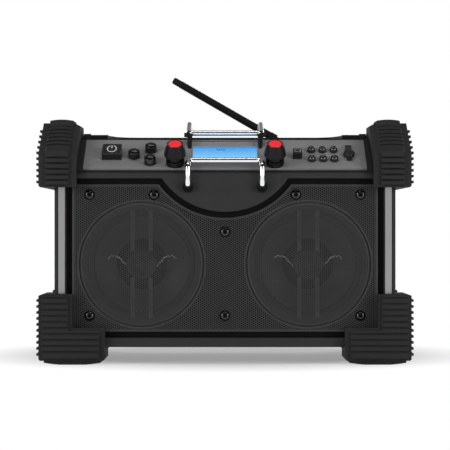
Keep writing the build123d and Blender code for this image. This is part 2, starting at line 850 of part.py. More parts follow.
def ribbed_pad(path_points, ribs, width, middle):
    """Crowned rubber pad that follows a line in Y and Z, cut across by grooves. Each leg of the line has
    its own ribs: their pitch, the groove's width, and the plain length at each end."""
    path = Polyline(*[(middle, y, z) for y, z in path_points])
    half = width / 2
    section = Plane(origin=path @ 0, x_dir=(1, 0, 0), z_dir=path % 0)
    outline = make_face(
        section
        * (
            Polyline((-half, -pad_edge), (-half, 1.0), (half, 1.0), (half, -pad_edge))
            + ThreePointArc((half, -pad_edge), (0, -crown), (-half, -pad_edge))
        )
    )
    pad = sweep(outline, path=path, transition=Transition.RIGHT)
    floor = 0.4
    for (y0, z0), (y1, z1), (pitch, gap, plain) in zip(path_points, path_points[1:], ribs):
        length = sqrt((y1 - y0) ** 2 + (z1 - z0) ** 2)
        turn = degrees(atan2(z1 - z0, y1 - y0))
        count = 1 + int((length - 2 * plain) // pitch)
        for k in range(count):
            share = 0.5 + (k - (count - 1) / 2) * pitch / length
            centre = Pos(middle, y0 + (y1 - y0) * share, z0 + (z1 - z0) * share)
            pad -= centre * Rot(turn, 0, 0) * Pos(0, 0, floor + crown / 2) * Box(width + 2, gap, crown)
    return pad


def make_top_guard(width, brow, run):
    """Upper corner guard, as the front right one sits, with a sloped part of this height and depth."""
    inner, inner_end = guard_x - width, -top_guard_gap / 2
    slant = [(guard_front, guard_top - brow), (guard_front + run, guard_top)]
    outline = [(guard_front, top_low), *slant, (inner_end, guard_top), (inner_end, top_low)]
    body = Pos(inner + width / 2, 0, 0) * side_profile(outline, width / 2)
    outer_low = body.edges().filter_by(Axis.Y).sort_by(lambda e: e.center().Z - 0.01 * e.center().X)[0]
    body = chamfer(outer_low, low_chamfer)
    along = Vector(0, run, brow).normalized()
    sloped = [e for e in body.edges() if abs((e @ 1 - e @ 0).normalized().dot(along)) > 0.999]
    body = chamfer(min(sloped, key=lambda e: e.center().X), brow_chamfer)
    across, down = top_chamfer
    lean = down / across
    corner = make_face(
        Polyline(
            (inner - 1, guard_top - down - lean),
            (inner + across + 1 / lean, guard_top + 1),
            (inner - 1, guard_top + 1),
            close=True,
        )
    )
    body -= front_profile(corner, guard_front, 0)
    path = [(guard_front, top_low + 3), *slant, (inner_end - 3, guard_top)]
    pad_low, pad_high = inner + pad_in, guard_x - pad_out
    ribs = [(rib_pitch, rib_gap, 2.9), (brow_pitch, brow_gap, 12.0), (brow_pitch, brow_gap, 4.0)]
    body += ribbed_pad(path, ribs, pad_high - pad_low, (pad_low + pad_high) / 2)
    for k in range(int((top_guard_height - 10) // tooth_pitch)):
        z = top_low + 5 + k * tooth_pitch
        setback = max(0.0, (z - slant[0][1]) * run / brow)
        tooth = (guard_front + 5 + setback, inner_end - 4)
        body += span((guard_x - 1, guard_x + side_rib), tooth, (z, z + side_rib_t))
    return body


def make_foot_guard(width):
    """Lower corner guard, as the front right one sits: an upright leg and a long foot."""
    leg_inner, foot_inner = guard_x - leg_width, guard_x - width
    foot_top = foot_rise + foot_height
    outline = make_face(
        Polyline(
            (guard_x, foot_rise + low_chamfer),
            (guard_x - low_chamfer, foot_rise),
            (foot_inner + low_chamfer, foot_rise),
            (foot_inner, foot_rise + low_chamfer),
            (foot_inner, foot_top),
            (leg_inner, foot_top),
            (leg_inner, leg_top),
            (guard_x - leg_chamfer[0], leg_top),
            (guard_x, leg_top - leg_chamfer[1]),
            close=True,
        )
    )
    back = guard_front + foot_depth
    body = front_profile(outline, guard_front, back)
    # ribbed pads on the front face, and ribs on the outer face in line with the lands between grooves
    pad_out_x = guard_x - 4.2
    pad = rectangle((leg_inner + 5, pad_out_x), (foot_rise + 3, leg_top - 1.5))
    pad += rectangle((foot_inner + 6.3, pad_out_x), (foot_rise + 3, foot_top - 3))
    face = front_profile(pad, guard_front - crown, guard_front + 1)
    groove = (guard_front - crown - 1, guard_front - crown + 2.2)
    for k in range(foot_ribs):
        z = foot_rise + 10.9 + k * foot_pitch
        face -= span((foot_inner, guard_x), groove, (z - rib_gap / 2, z + rib_gap / 2))
        land = z - foot_pitch / 2
        rib_z = (land - side_rib_t / 2, land + side_rib_t / 2)
        body += span((guard_x - 1, guard_x + side_rib), (guard_front + 5, back - 4), rib_z)
    body += face
    sole_low, sole_high = foot_inner + 5, guard_x - 6
    low, high = foot_rise - 2.6, foot_rise + 1
    sole = make_face(
        Polyline((sole_low, low), (sole_low, high), (sole_high, high), (sole_high, low))
        + ThreePointArc((sole_high, low), ((sole_low + sole_high) / 2, -0.6), (sole_low, low))
    )
    # crowned underneath, and worn flat where it stands on the ground
    floor = span((0, guard_x), (guard_front, back), (0, foot_top))
    return body + (front_profile(sole, guard_front + 4, back - 4) & floor)


# --- carry handle and antenna ---------------------------------------------------------------


def make_handle():
    half = handle_section / 2
    x, y0, y1 = handle_half_width - half, handle_pivot_y, handle_pivot_y + handle_reach - half
    lean = 18.0
    right = [(x, y0), (x - 4, y0 + 22), (x - lean, y1)]
    left = [(-px, py) for px, py in reversed(right)]
    corners = [(px, py, pivot_z) for px, py in right + left]
    path = FilletPolyline(*corners, radius=(40, handle_corner, handle_corner, 40))
    section = Plane(origin=path @ 0, x_dir=(0, 0, 1), z_dir=path % 0)
    bar = sweep(section * RectangleRounded(handle_section, handle_section - 1, 4.0), path=path)
    for side in (-1, 1):
        inner, outer = sorted((side * (x - half), side * (ear_outer - ear_t - ear_inset)))
        bar += along_x(half, inner, outer, y0, pivot_z)
        pin = sorted((side * x, side * (ear_outer - 1)))
        bar += along_x(trunnion_radius, *pin, y0, pivot_z)
    return bar


antenna_z = well_z + antenna_pivot_rise


def make_antenna_base():
    foot = Pos(antenna_x, antenna_y, well_z + 2) * Cylinder(antenna_foot_radius, 4)
    gap = knuckle_t / 2 + 0.15
    ear_reach = 3.2
    for side in (-1, 1):
        y = sorted((antenna_y + side * gap, antenna_y + side * (gap + ear_reach)))
        foot += span((antenna_x - 5, antenna_x + 5), y, (well_z + 1, antenna_z))
        foot += along_y(5.0, *y, antenna_x, antenna_z)
    reach = gap + ear_reach + 1
    return foot - along_y(antenna_pin + running, antenna_y - reach, antenna_y + reach, antenna_x, antenna_z)


def make_whip():
    along = Plane(
        origin=(antenna_x, antenna_y, antenna_z),
        x_dir=(0, 1, 0),
        z_dir=(-cos(radians(antenna_lean)), 0, sin(radians(antenna_lean))),
    )
    half = knuckle_t / 2
    knuckle = along_y(knuckle_radius, antenna_y - half, antenna_y + half, antenna_x, antenna_z)
    neck = along * Pos(0, 0, 4.5) * Box(knuckle_t, 7.0, 9)
    reach = half + 0.15 + 3.0
    pin = along_y(antenna_pin, antenna_y - reach, antenna_y + reach, antenna_x, antenna_z)
    outline = make_face(
        Plane.XZ
        * Polyline(
            (0, 8.2),
            (antenna_radius + 0.7, 8.2),
            (antenna_radius + 0.7, 16),
            (antenna_radius, 19),
            (antenna_radius - 0.4, antenna_length - 1.5),
            (antenna_radius - 1.6, antenna_length),
            (0, antenna_length),
            close=True,
        )
    )
    return knuckle + neck + pin + along * revolve(outline, Axis.Z)


# --- back -----------------------------------------------------------------------------------

bay_x = (-bay_width / 2, bay_width / 2)
bay_top = bay_z + bay_height
bay_y = cab_back - bay_depth
door_axis_y = back_y - door_t / 2
door_top = bay_top + door_lap
door_axis_z = door_top - door_t / 2
inlet_x = half_w - inlet_from_side
cover_screws_at = [
    (x * side, z)
    for side in (-1, 1)
    for x, z in (
        (half_w - 36, leg_top + 26),
        (half_w - 36, top_low - 26),
        (bay_x[1] - 1, base_z + 17),
        (bay_x[1] - 1, well_z - 20),
    )
]


def make_rear_cover():
    x_out = half_w - 1
    cover = span((-x_out, x_out), (cab_back, back_y), (base_z + 1, well_z - 1))
    cover = chamfer(cover.edges().filter_by(Axis.Y), 8)
    skirt = half_w - wall - fit
    lip = span((-skirt, skirt), (cab_back - 5, cab_back), (base_z + wall + fit, well_z - wall - fit))
    lip_z = (base_z + wall + fit + 3, well_z - wall - fit - 3)
    lip -= span((-skirt + 3, skirt - 3), (cab_back - 6, cab_back), lip_z)
    cover += lip
    # battery bay with its own walls, open at the back
    bay_walls = (bay_x[0] - bay_wall, bay_x[1] + bay_wall)
    cover += span(bay_walls, (bay_y - bay_wall, cab_back + 0.5), (bay_z - bay_wall, bay_top + bay_wall))
    cover -= span(bay_x, (bay_y, back_y + 1), (bay_z, bay_top))
    rebate = (bay_x[0] - door_lap - fit, bay_x[1] + door_lap + fit)
    cover -= span(rebate, (back_y - door_t - 0.2, back_y + 1), (bay_z - door_lap - fit, door_top + fit))
    cover -= along_x(door_pin + running, rebate[0] - 4, rebate[1] + 4, door_axis_y, door_axis_z)
    # vertical strengthening ribs each side of the bay
    for side in (-1, 1):
        for k in range(rib_count):
            x = side * (rebate[1] + 20 + rib_spacing * k)
            rib_z = (bay_top - 8, well_z - 34)
            cover += span((x - rib_t / 2, x + rib_t / 2), (back_y - 1, back_y + rib_rise), rib_z)
    half = inlet_width / 2 + fit
    cover -= span(
        (inlet_x - half, inlet_x + half),
        (cab_back - 8, back_y + 1),
        (inlet_z - inlet_height / 2 - fit, inlet_z + inlet_height / 2 + fit),
    )
    for x, z in cover_screws_at:
        cover -= along_y(screw_shank + bar_running, cab_back - 1, back_y + 1, x, z)
    return cover


def make_battery_door():
    x = (bay_x[0] - door_lap, bay_x[1] + door_lap)
    door = span(x, (back_y - door_t, back_y), (bay_z - door_lap, door_axis_z))
    door += along_x(door_t / 2, *x, door_axis_y, door_axis_z)
    door += along_x(door_pin, x[0] - 3, x[1] + 3, door_axis_y, door_axis_z)
    # finger groove near the lower edge
    return door - along_x(8, -17, 17, back_y + 6, bay_z + 4)


def make_battery():
    gap = 1.2
    pack_y = (bay_y + fit, back_y - door_t - 1.5)
    pack = span((bay_x[0] + gap, bay_x[1] - gap), pack_y, (bay_z, bay_top - gap))
    return chamfer(pack.edges().filter_by(Axis.X), 3)


def make_inlet():
    half = inlet_width / 2
    z = (inlet_z - inlet_height / 2, inlet_z + inlet_height / 2)
    body = span((inlet_x - half, inlet_x + half), (cab_back - inlet_depth, back_y + 0.6), z)
    body -= span((inlet_x - half + 5, inlet_x + half - 5), (cab_back - 8, back_y + 2), (z[0] + 6, z[1] - 6))
    for pin in (-1, 1):
        body += along_y(1.5, cab_back - 9, back_y - 3, inlet_x + pin * 4.5, inlet_z)
    return body


def make_main_board():
    """Amplifier board with a finned heat sink and four capacitors, placed in shares of the board."""
    z = base_z + wall + board_rise
    board = span((-main_board_x, main_board_x), main_board_y, (z, z + board_t))
    front, back = main_board_y
    depth = back - front
    sink_x, sink_y = -0.55 * main_board_x, (front + 0.16 * depth, front + 0.56 * depth)
    sink_width, fin_pitch, fin_t, fin_rise = heat_sink
    board += span((sink_x - sink_width / 2, sink_x + sink_width / 2), sink_y, (z + 1, z + 5))
    for k in range(-2, 3):
        fin = sink_x + k * fin_pitch
        board += span((fin - fin_t / 2, fin + fin_t / 2), sink_y, (z + 1, z + fin_rise))
    can_z = z + 1 + capacitor_height / 2
    for across, up, size in ((0.38, 0.3, 0), (0.68, 0.3, 0), (0.38, 0.7, 1), (0.65, 0.74, 1)):
        radius = capacitor_radius[size]
        board += Pos(across * main_board_x, front + up * depth, can_z) * Cylinder(radius, capacitor_height)
    return board


# --- write every node -------------------------------------------------------------------------

save("cabinet", make_cabinet())
save("front_frame", make_front_frame())
save("side_rails", *make_side_rails())
save("speaker_baffle", make_baffle())
save("speaker_grille", make_grille())
save("grille_screws", *[socket_screw(x, z, grille_y, 1) for x, z in grille_screws_at])
save("rear_cover", make_rear_cover())
save("rear_cover_screws", *[socket_screw(x, z, back_y, -1) for x, z in cover_screws_at])
save("control_panel", make_panel() + make_aux_hinge_pad())

guards = {
    "top_guard_front": make_top_guard(top_guard_width, *front_brow),
    "top_guard_rear": mirror(make_top_guard(rear_guard_width, *rear_brow), Plane.XZ),
    "foot_guard_front": make_foot_guard(foot_width),
    "foot_guard_rear": mirror(make_foot_guard(rear_foot_width), Plane.XZ),
}
for name, guard in guards.items():
    right, left = pair(guard - envelope)
    save(f"{name}_right", right)
    save(f"{name}_left", left)

save("front_guard_bar", make_front_bar())
save("rear_guard_bar", make_rear_bar())
save("guard_grommets", *make_grommets())
save("guard_posts", *make_posts())
save("display_lens", make_lens())
save("lcd_module", make_lcd())
save("power_led", on_panel(led_x, led_up, -board_depth, 0.5, led_radius))
save("control_board", make_control_board())
save("main_board", make_main_board())

surrounds, magnets = [], []
for name, side in (("left", -1), ("right", 1)):
    basket, cone, surround, magnet = make_speaker(side)
    save(f"speaker_basket_{name}", basket)
    save(f"speaker_cone_{name}", cone)
    save(f"tweeter_{name}", make_tweeter(side))
    surrounds.append(surround)
    magnets.append(magnet)
save("speaker_surrounds", *surrounds)
save("speaker_magnets", *magnets)

for name, x in knob_places.items():
    save(f"{name}_knob", make_knob(x))
    save(f"{name}_knob_cap", make_knob_cap(x))
    save(f"{name}_shaft", make_shaft(x))
save("knob_collars", *[make_collar(x) for x in knob_places.values()])
for name, place in round_keys.items():
    save(name, make_round_key(*place))
for name, place in square_keys.items():
    save(name, make_square_key(*place))
save("aux_cover", make_aux_cover())
save("aux_socket", make_aux_socket())
save("carry_handle", make_handle())
save("antenna_base", make_antenna_base())
save("antenna_whip", make_whip())
save("battery_door", make_battery_door())
save("battery_pack", make_battery())
save("mains_inlet", make_inlet())
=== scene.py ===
import math

import bmesh
import bpy
from mathutils import Matrix, Vector


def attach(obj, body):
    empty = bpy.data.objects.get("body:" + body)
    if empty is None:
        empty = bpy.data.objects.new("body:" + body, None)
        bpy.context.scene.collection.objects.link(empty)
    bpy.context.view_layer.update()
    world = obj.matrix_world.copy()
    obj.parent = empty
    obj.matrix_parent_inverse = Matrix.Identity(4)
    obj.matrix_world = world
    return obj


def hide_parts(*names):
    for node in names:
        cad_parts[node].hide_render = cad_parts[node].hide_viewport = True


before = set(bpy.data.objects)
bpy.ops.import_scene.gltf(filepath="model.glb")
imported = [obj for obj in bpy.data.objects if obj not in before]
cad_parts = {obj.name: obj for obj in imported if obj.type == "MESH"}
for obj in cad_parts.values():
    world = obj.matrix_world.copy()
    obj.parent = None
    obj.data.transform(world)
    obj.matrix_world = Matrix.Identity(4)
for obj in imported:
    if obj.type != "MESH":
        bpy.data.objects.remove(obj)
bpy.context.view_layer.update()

# --- cabinet, rear cover, battery door and mains inlet ------------------------------------------
# Injection mouldings in black ABS with a fine eroded grain, slightly rounded at every outer edge.
# The rear cover closes the cabinet from behind, with the battery door and the mains inlet in it.


def plugged(tree, node, *ordered, **named):
    """The node, its inputs set in order or by name to values or to other nodes' outputs."""
    wanted = list(zip(node.inputs, ordered))
    wanted += [(node.inputs[name.replace("_", " ")], value) for name, value in named.items()]
    for socket, value in wanted:
        if isinstance(value, bpy.types.NodeSocket):
            tree.links.new(value, socket)
        elif value is not None:
            socket.default_value = value
    return node


def node_in(tree, kind, *ordered, options=(), **named):
    """A new node of a tree, its options set first and then its inputs."""
    node = tree.nodes.new(kind)
    for key, value in dict(options).items():
        setattr(node, key, value)
    return plugged(tree, node, *ordered, **named)


def new_finish(name):
    """A new material, its tree and its shader."""
    material = bpy.data.materials.new(name)
    material.use_nodes = True
    return material, material.node_tree, material.node_tree.nodes["Principled BSDF"]


def noise(tree, point, scale, detail=2):
    """Random pattern from 0 to 1."""
    return node_in(tree, "ShaderNodeTexNoise", Vector=point, Scale=scale, Detail=detail).outputs["Fac"]


def between(tree, pattern, low, high):
    """Number that goes from low to high as the pattern goes from 0 to 1."""
    return node_in(tree, "ShaderNodeMapRange", pattern, 0, 1, low, high).outputs["Result"]


def tinted(tree, pattern, low, high):
    """Colour that goes from low to high as the pattern goes from 0 to 1."""
    as_colour = {"data_type": "RGBA"}
    mix = node_in(tree, "ShaderNodeMix", options=as_colour, Factor=pattern, A=(*low, 1), B=(*high, 1))
    return mix.outputs["Result"]


def in_relief(tree, pattern, strength, height):
    """Surface normal with the pattern raised by this height."""
    bump = node_in(tree, "ShaderNodeBump", Strength=strength, Distance=height, Height=pattern)
    return bump.outputs["Normal"]


def moulded(name, colour, roughness, grain=0.25, pitch=0.0007, mottle=0.12, **sockets):
    """Plastic or rubber with a slightly uneven colour and a fine grain of this pitch in relief."""
    cloud_scale, polish_spread, grain_height = 45, 0.06, 0.0002
    material, tree, shader = new_finish(name)
    point = node_in(tree, "ShaderNodeTexCoord").outputs["Object"]
    cloud = noise(tree, point, cloud_scale, detail=5)
    darker, lighter = [[c * share for c in colour] for share in (1 - mottle, 1 + mottle)]
    shinier, duller = max(roughness - polish_spread, 0.02), min(roughness + polish_spread, 1)
    plugged(
        tree,
        shader,
        Base_Color=tinted(tree, cloud, darker, lighter),
        Roughness=between(tree, cloud, shinier, duller),
        Normal=in_relief(tree, noise(tree, point, 1 / pitch), grain, grain_height),
        **sockets,
    )
    return material


def place_piece(name, mesh, material, body, slot, *nodes, sharp=35):
    """Finished piece from a mesh or bmesh: smooth but for its sharp edges, and fixed to its body."""
    if isinstance(mesh, bmesh.types.BMesh):
        bmesh.ops.recalc_face_normals(mesh, faces=mesh.faces)
        shape = bpy.data.meshes.new(name)
        mesh.to_mesh(shape)
        mesh.free()
    else:
        shape = mesh
    shape.materials.clear()
    shape.materials.append(material)
    shape.shade_smooth()
    shape.set_sharp_from_angle(angle=math.radians(sharp))
    piece = bpy.data.objects.new(name, shape)
    bpy.context.collection.objects.link(piece)
    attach(piece, body)
    if nodes:
        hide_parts(*nodes)


def finished(piece):
    """The mesh of a piece with its modifiers worked in."""
    bpy.context.view_layer.update()
    seen = piece.evaluated_get(bpy.context.evaluated_depsgraph_get())
    shape = bpy.data.meshes.new_from_object(seen)
    bpy.data.objects.remove(piece)
    return shape


def rounded_copy(node, edge=0):
    """The CAD solid's own shape as one clean skin: level faces merged, edges rounded by this radius."""
    level, corner = math.radians(1.5), math.radians(38)
    skin = bmesh.new()
    skin.from_mesh(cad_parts[node].data)
    bmesh.ops.remove_doubles(skin, verts=skin.verts, dist=2e-6)
    bmesh.ops.dissolve_limit(skin, angle_limit=level, verts=skin.verts, edges=skin.edges)
    shape = bpy.data.meshes.new(node)
    skin.to_mesh(shape)
    skin.free()
    if not edge:
        return shape
    blank = bpy.data.objects.new(node + "_blank", shape)
    bpy.context.collection.objects.link(blank)
    bevel = blank.modifiers.new("edges", "BEVEL")
    bevel.width = edge
    bevel.segments = 2
    bevel.limit_method = "ANGLE"
    bevel.angle_limit = corner
    return finished(blank)


black_abs = moulded("black_abs", (0.0125, 0.0125, 0.0128), 0.65, Specular_IOR_Level=0.15)
for node, edge, body in (
    ("cabinet", 0.0008, "housing"),
    ("rear_cover", 0.0006, "housing"),
    ("battery_door", 0.0006, "battery_door"),
    ("mains_inlet", 0.0004, "housing"),
):
    place_piece(node + "_skin", rounded_copy(node, edge), black_abs, body, "black_plastic", node)

# --- front frame and side rails -----------------------------------------------------------------
# The frame is a dark grey moulding with a half-round apron that hangs over the grille.
# A satin aluminium strip, extruded and chamfered, lies in a channel in each of its side posts.

grey_abs = moulded("grey_abs", (0.024, 0.024, 0.0245), 0.55, Specular_IOR_Level=0.25)
frame_skin = rounded_copy("front_frame", 0.0009)
place_piece("front_frame_skin", frame_skin, grey_abs, "housing", "frame_plastic", "front_frame")


def brushed(name, colour, roughness, stretch=(1, 1, 1), scale=700):
    """Metal with fine brush lines, drawn out along the axis whose stretch is small."""
    tint_spread, polish_spread, line_strength, line_height = 0.1, 0.2, 0.06, 0.0001
    material, tree, shader = new_finish(name)
    point = node_in(tree, "ShaderNodeTexCoord").outputs["Object"]
    stretched = node_in(tree, "ShaderNodeMapping", Vector=point, Scale=stretch).outputs["Vector"]
    lines = noise(tree, stretched, scale, detail=3)
    darker, lighter = [[min(c * share, 1) for c in colour] for share in (1 - tint_spread, 1 + tint_spread)]
    shinier, duller = roughness * (1 - polish_spread), min(roughness * (1 + polish_spread), 1)
    plugged(
        tree,
        shader,
        Metallic=1,
        Base_Color=tinted(tree, lines, darker, lighter),
        Roughness=between(tree, lines, shinier, duller),
        Normal=in_relief(tree, lines, line_strength, line_height),
    )
    return material


satin_aluminium = brushed("satin_aluminium", (0.37, 0.37, 0.375), 0.38, stretch=(1, 1, 0.02))
strips = rounded_copy("side_rails")
place_piece("side_rail_strips", strips, satin_aluminium, "housing", "aluminium", "side_rails")

# --- speaker baffle and drivers -----------------------------------------------------------------
# Each coaxial driver has a pressed steel basket, a poly cone on a rolled rubber surround, a ferrite
# magnet, two braided lead wires, and a tweeter pod that two flat bars carry across the front.

speaker_x, speaker_z, baffle_y = 0.102, 0.122, -0.095
front, nose = baffle_y + 0.0016, baffle_y - 0.0009
cone_edge, cone_depth, neck_edge, neck_depth = 0.0581, 0.0130, 0.0315, 0.0272
roll_middle, roll_half, roll_rise = 0.0625, 0.0040, 0.0016
pod_edge, magnet_y = 0.0190, -0.0400
bar_offset, bar_width, bar_thickness, bar_start, bar_end = 0.0108, 0.0056, 0.0011, 0.0160, 0.0655
wire_radius, wire_bend = 0.0010, 0.004


def lathe(shape, profile, place, steps=64, closed=False):
    """Adds a turned form about the local Z axis, from (radius, height) points."""
    rings = []
    turns = [2 * math.pi * k / steps for k in range(steps)]
    for radius, height in profile:
        if radius < 1e-9:
            rings.append([shape.verts.new(place @ Vector((0, 0, height)))])
            continue
        around = [Vector((radius * math.cos(a), radius * math.sin(a), height)) for a in turns]
        rings.append([shape.verts.new(place @ point) for point in around])
    joins = list(zip(rings, rings[1:] + rings[:1])) if closed else list(zip(rings, rings[1:]))
    for low, high in joins:
        for k in range(steps):
            j = (k + 1) % steps
            corners = [low[k % len(low)], low[j % len(low)], high[j % len(high)], high[k % len(high)]]
            corners = list(dict.fromkeys(corners))
            if len(corners) > 2:
                shape.faces.new(corners)
    return shape


def facing_back(x, z):
    """Place on a driver's axis, with local Z pointing back into the cabinet."""
    return Matrix.Translation((x, 0, z)) @ Matrix.Rotation(math.radians(-90), 4, "X")


def arc(centre, radius, start, end, steps):
    """Points on an arc, as (radius, height) pairs, with angles in degrees."""
    turns = [math.radians(start + (end - start) * k / steps) for k in range(steps + 1)]
    return [(centre[0] + radius * math.cos(a), centre[1] + radius * math.sin(a)) for a in turns]


def bent(points, radius, steps=10):
    """The points of a rod's centre line, with arcs of this radius at its corners."""
    points = [Vector(p) for p in points]
    line = [points[0]]
    for before, corner, after in zip(points, points[1:], points[2:]):
        back, on = (before - corner).normalized(), (after - corner).normalized()
        half = back.angle(on) / 2
        centre = corner + (back + on).normalized() * (radius / math.sin(half))
        reach = radius / math.tan(half)
        start, end = [(corner + way * reach - centre).normalized() for way in (back, on)]
        line += [centre + start.slerp(end, k / steps).normalized() * radius for k in range(steps + 1)]
    return line + [points[-1]]


def drawn(shape, line, section, up):
    """Adds a bar of this section, given as (across, up) points, along a line."""
    rings = []
    for k, point in enumerate(line):
        ahead = (line[min(k + 1, len(line) - 1)] - line[max(k - 1, 0)]).normalized()
        up = (up - ahead * up.dot(ahead)).normalized()
        across = ahead.cross(up)
        rings.append([shape.verts.new(point + across * a + up * b) for a, b in section])
    count = len(section)
    for near, far in zip(rings, rings[1:]):
        for k in range(count):
            shape.faces.new((near[k], near[(k + 1) % count], far[(k + 1) % count], far[k]))
    shape.faces.new(rings[0])
    shape.faces.new(rings[-1])
    return shape


def cone(axis):
    """Moulded cone that flares from its neck to a lip under the surround."""
    lip, reach = front + 0.0012, cone_edge - neck_edge
    flare = [(cone_edge - reach * t, lip + cone_depth * t**1.25) for t in (0, 0.25, 0.5, 0.75, 1)]
    back = [(radius - 0.0010, depth + 0.0008) for radius, depth in reversed(flare)]
    return lathe(bmesh.new(), [(cone_edge, front), *flare, *back], axis, steps=96, closed=True)


def cone_neck(axis):
    """Tube that joins the cone to its voice coil in the magnet's gap, near black as painted shade in the
    cone's deep middle.
    """
    throat = front + neck_depth
    outside = [(neck_edge - 0.0002, front + 0.0142), (0.0150, throat), (0.0135, throat), (0.0135, magnet_y)]
    inside = [(0.0122, magnet_y), (0.0122, throat - 0.0010), (neck_edge - 0.0010, front + 0.0150)]
    return lathe(bmesh.new(), outside + inside, axis, closed=True)


def surround_roll(shape, axis):
    """Adds the half-round roll that holds the cone at its edge."""
    inner, outer = roll_middle - roll_half, roll_middle + roll_half - 0.0001
    roll = [(inner, front + 0.0009), (inner, front - 0.0003)]
    for turn in (0.4, 0.9, 1.57, 2.2, 2.7):
        radius = roll_middle - (roll_half - 0.001) * math.cos(turn)
        roll.append((radius, front - 0.0002 - roll_rise * math.sin(turn)))
    roll += [(outer, front - 0.0003), (outer, front + 0.0009)]
    return lathe(shape, roll, axis, steps=96, closed=True)


def tweeter_pod(axis):
    """Moulded pod with a small dome in a dished rim."""
    dome = [(0, nose - 0.0002), (0.004, nose - 0.0004), (0.0065, nose + 0.0008), (0.0070, nose + 0.0026)]
    rim = [(0.0080, nose + 0.0030), (0.0128, nose + 0.0004), (0.0145, nose), (0.0182, nose + 0.0012)]
    body = [(pod_edge, nose + 0.003), (0.016, nose + 0.012), (0, nose + 0.014)]
    return lathe(bmesh.new(), dome + rim + body, axis)


def tweeter_bridge(middle_x):
    """Two flat upright bars, each in two lengths, above and below the pod."""
    bridge = bmesh.new()
    for bar in (-1, 1):
        for low, high in ((bar_start, bar_end), (-bar_end, -bar_start)):
            size = Matrix.Diagonal((bar_width, bar_thickness, high - low, 1))
            middle = (middle_x + bar * bar_offset, nose + 0.00035, speaker_z + (low + high) / 2)
            bmesh.ops.create_cube(bridge, size=1, matrix=Matrix.Translation(middle) @ size)
    return bridge


def lead_wires(middle_x):
    """Two soft wires that run in a wave from behind the pod to the cone, on either side."""
    # Points of the route: out from the axis, up, and back from the front plane.
    route = [(0.0175, -0.0030, 0.0085), (0.0225, 0.0020, 0.0060), (0.0285, 0.0085, 0.0050)]
    route += [(0.0370, 0.0105, 0.0060), (0.0415, 0.0070, 0.0085), (0.0425, 0.0050, 0.0110)]
    leads = bmesh.new()
    for way in (-1, 1):
        bends = [Vector((middle_x + way * out, front + depth, speaker_z + up)) for out, up, depth in route]
        drawn(leads, bent(bends, wire_bend, 4), arc((0, 0), wire_radius, 0, 315, 7), Vector((0, 1, 0)))
    return leads


def finish_node(node, material):
    """Gives this material to a CAD solid that stays as it is."""
    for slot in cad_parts[node].material_slots:
        slot.material = material


cone_poly = moulded("cone_poly", (0.045, 0.045, 0.047), 0.35, grain=0.1, mottle=0.06)
# Near black that paints shade in deep places: the cone's middle, the baffle in the channel round the grille,
# and the grille screws' washers and sockets.
neck_black = moulded("neck_black", (0.003, 0.003, 0.003), 0.6, Specular_IOR_Level=0.1)
surround_rubber = moulded("surround_rubber", (0.014, 0.014, 0.014), 0.6)
basket_enamel = moulded("basket_enamel", (0.02, 0.02, 0.02), 0.4)
pod_gloss = moulded("pod_gloss", (0.022, 0.022, 0.023), 0.25, grain=0.05)
bridge_grey = moulded("bridge_grey", (0.10, 0.10, 0.102), 0.4)
tinned_braid = moulded("tinned_braid", (0.80, 0.79, 0.77), 0.45, grain=0.6, pitch=0.0004)
ferrite = moulded("ferrite", (0.05, 0.05, 0.05), 0.7, grain=0.6, pitch=0.001)

surrounds = bmesh.new()
for name, side in (("left", -1), ("right", 1)):
    middle_x = side * speaker_x
    axis = facing_back(middle_x, speaker_z)
    cone_node, tweeter, basket = f"speaker_cone_{name}", f"tweeter_{name}", f"speaker_basket_{name}"
    place_piece(f"cone_{name}", cone(axis), cone_poly, "housing", "cone_black", cone_node)
    place_piece(f"cone_neck_{name}", cone_neck(axis), neck_black, "housing", "cone_black", cone_node)
    surround_roll(surrounds, axis)
    place_piece(f"tweeter_pod_{name}", tweeter_pod(axis), pod_gloss, "housing", "tweeter_black", tweeter)
    bars = tweeter_bridge(middle_x)
    place_piece(f"tweeter_bridge_{name}", bars, bridge_grey, "housing", "tweeter_black")
    place_piece(f"lead_wires_{name}", lead_wires(middle_x), tinned_braid, "housing", "speaker_steel")
    place_piece(f"basket_{name}", rounded_copy(basket), basket_enamel, "housing", "speaker_steel", basket)
place_piece("surround_rolls", surrounds, surround_rubber, "housing", "key_rubber", "speaker_surrounds")
finish_node("speaker_magnets", ferrite)
# The baffle is near black: painted shade for the deep channel round the grille, where it shows.
finish_node("speaker_baffle", neck_black)

# --- grille -------------------------------------------------------------------------------------
# One sheet of steel, punched with staggered round holes, pressed with a raised disc over each driver,
# folded back all round and powder coated black. The holes stop at the fold and at the pressed steps.

sheet_half, sheet_low, sheet_high, sheet_y, sheet_t = 0.187, 0.0393, 0.220, -0.0985, 0.0008
apron_z, sheet_arc, corner_radius = 0.279, 0.100, 0.005
disc_radius, disc_rise = 0.0758, 0.0009
hole_pitch, hole_radius, plain_edge, plain_step = 0.00287, 0.00108, 0.0022, 0.0016
lattice_half, lattice_height, lattice_z = 0.19, 0.20, 0.13


def number(tree, operation, *inputs):
    """Number worked out by a Math node."""
    return node_in(tree, "ShaderNodeMath", *inputs, options={"operation": operation}).outputs[0]


def new_tree(name, sizes):
    """Geometry Nodes tree with one named float input for each size, and its inputs."""
    tree = bpy.data.node_groups.new(name, "GeometryNodeTree")
    tree.interface.new_socket("Geometry", in_out="INPUT", socket_type="NodeSocketGeometry")
    for size in sizes:
        tree.interface.new_socket(size, in_out="INPUT", socket_type="NodeSocketFloat")
    tree.interface.new_socket("Piece", in_out="INPUT", socket_type="NodeSocketObject")
    tree.interface.new_socket("Finish", in_out="INPUT", socket_type="NodeSocketMaterial")
    tree.interface.new_socket("Geometry", in_out="OUTPUT", socket_type="NodeSocketGeometry")
    return tree, tree.nodes.new("NodeGroupInput").outputs


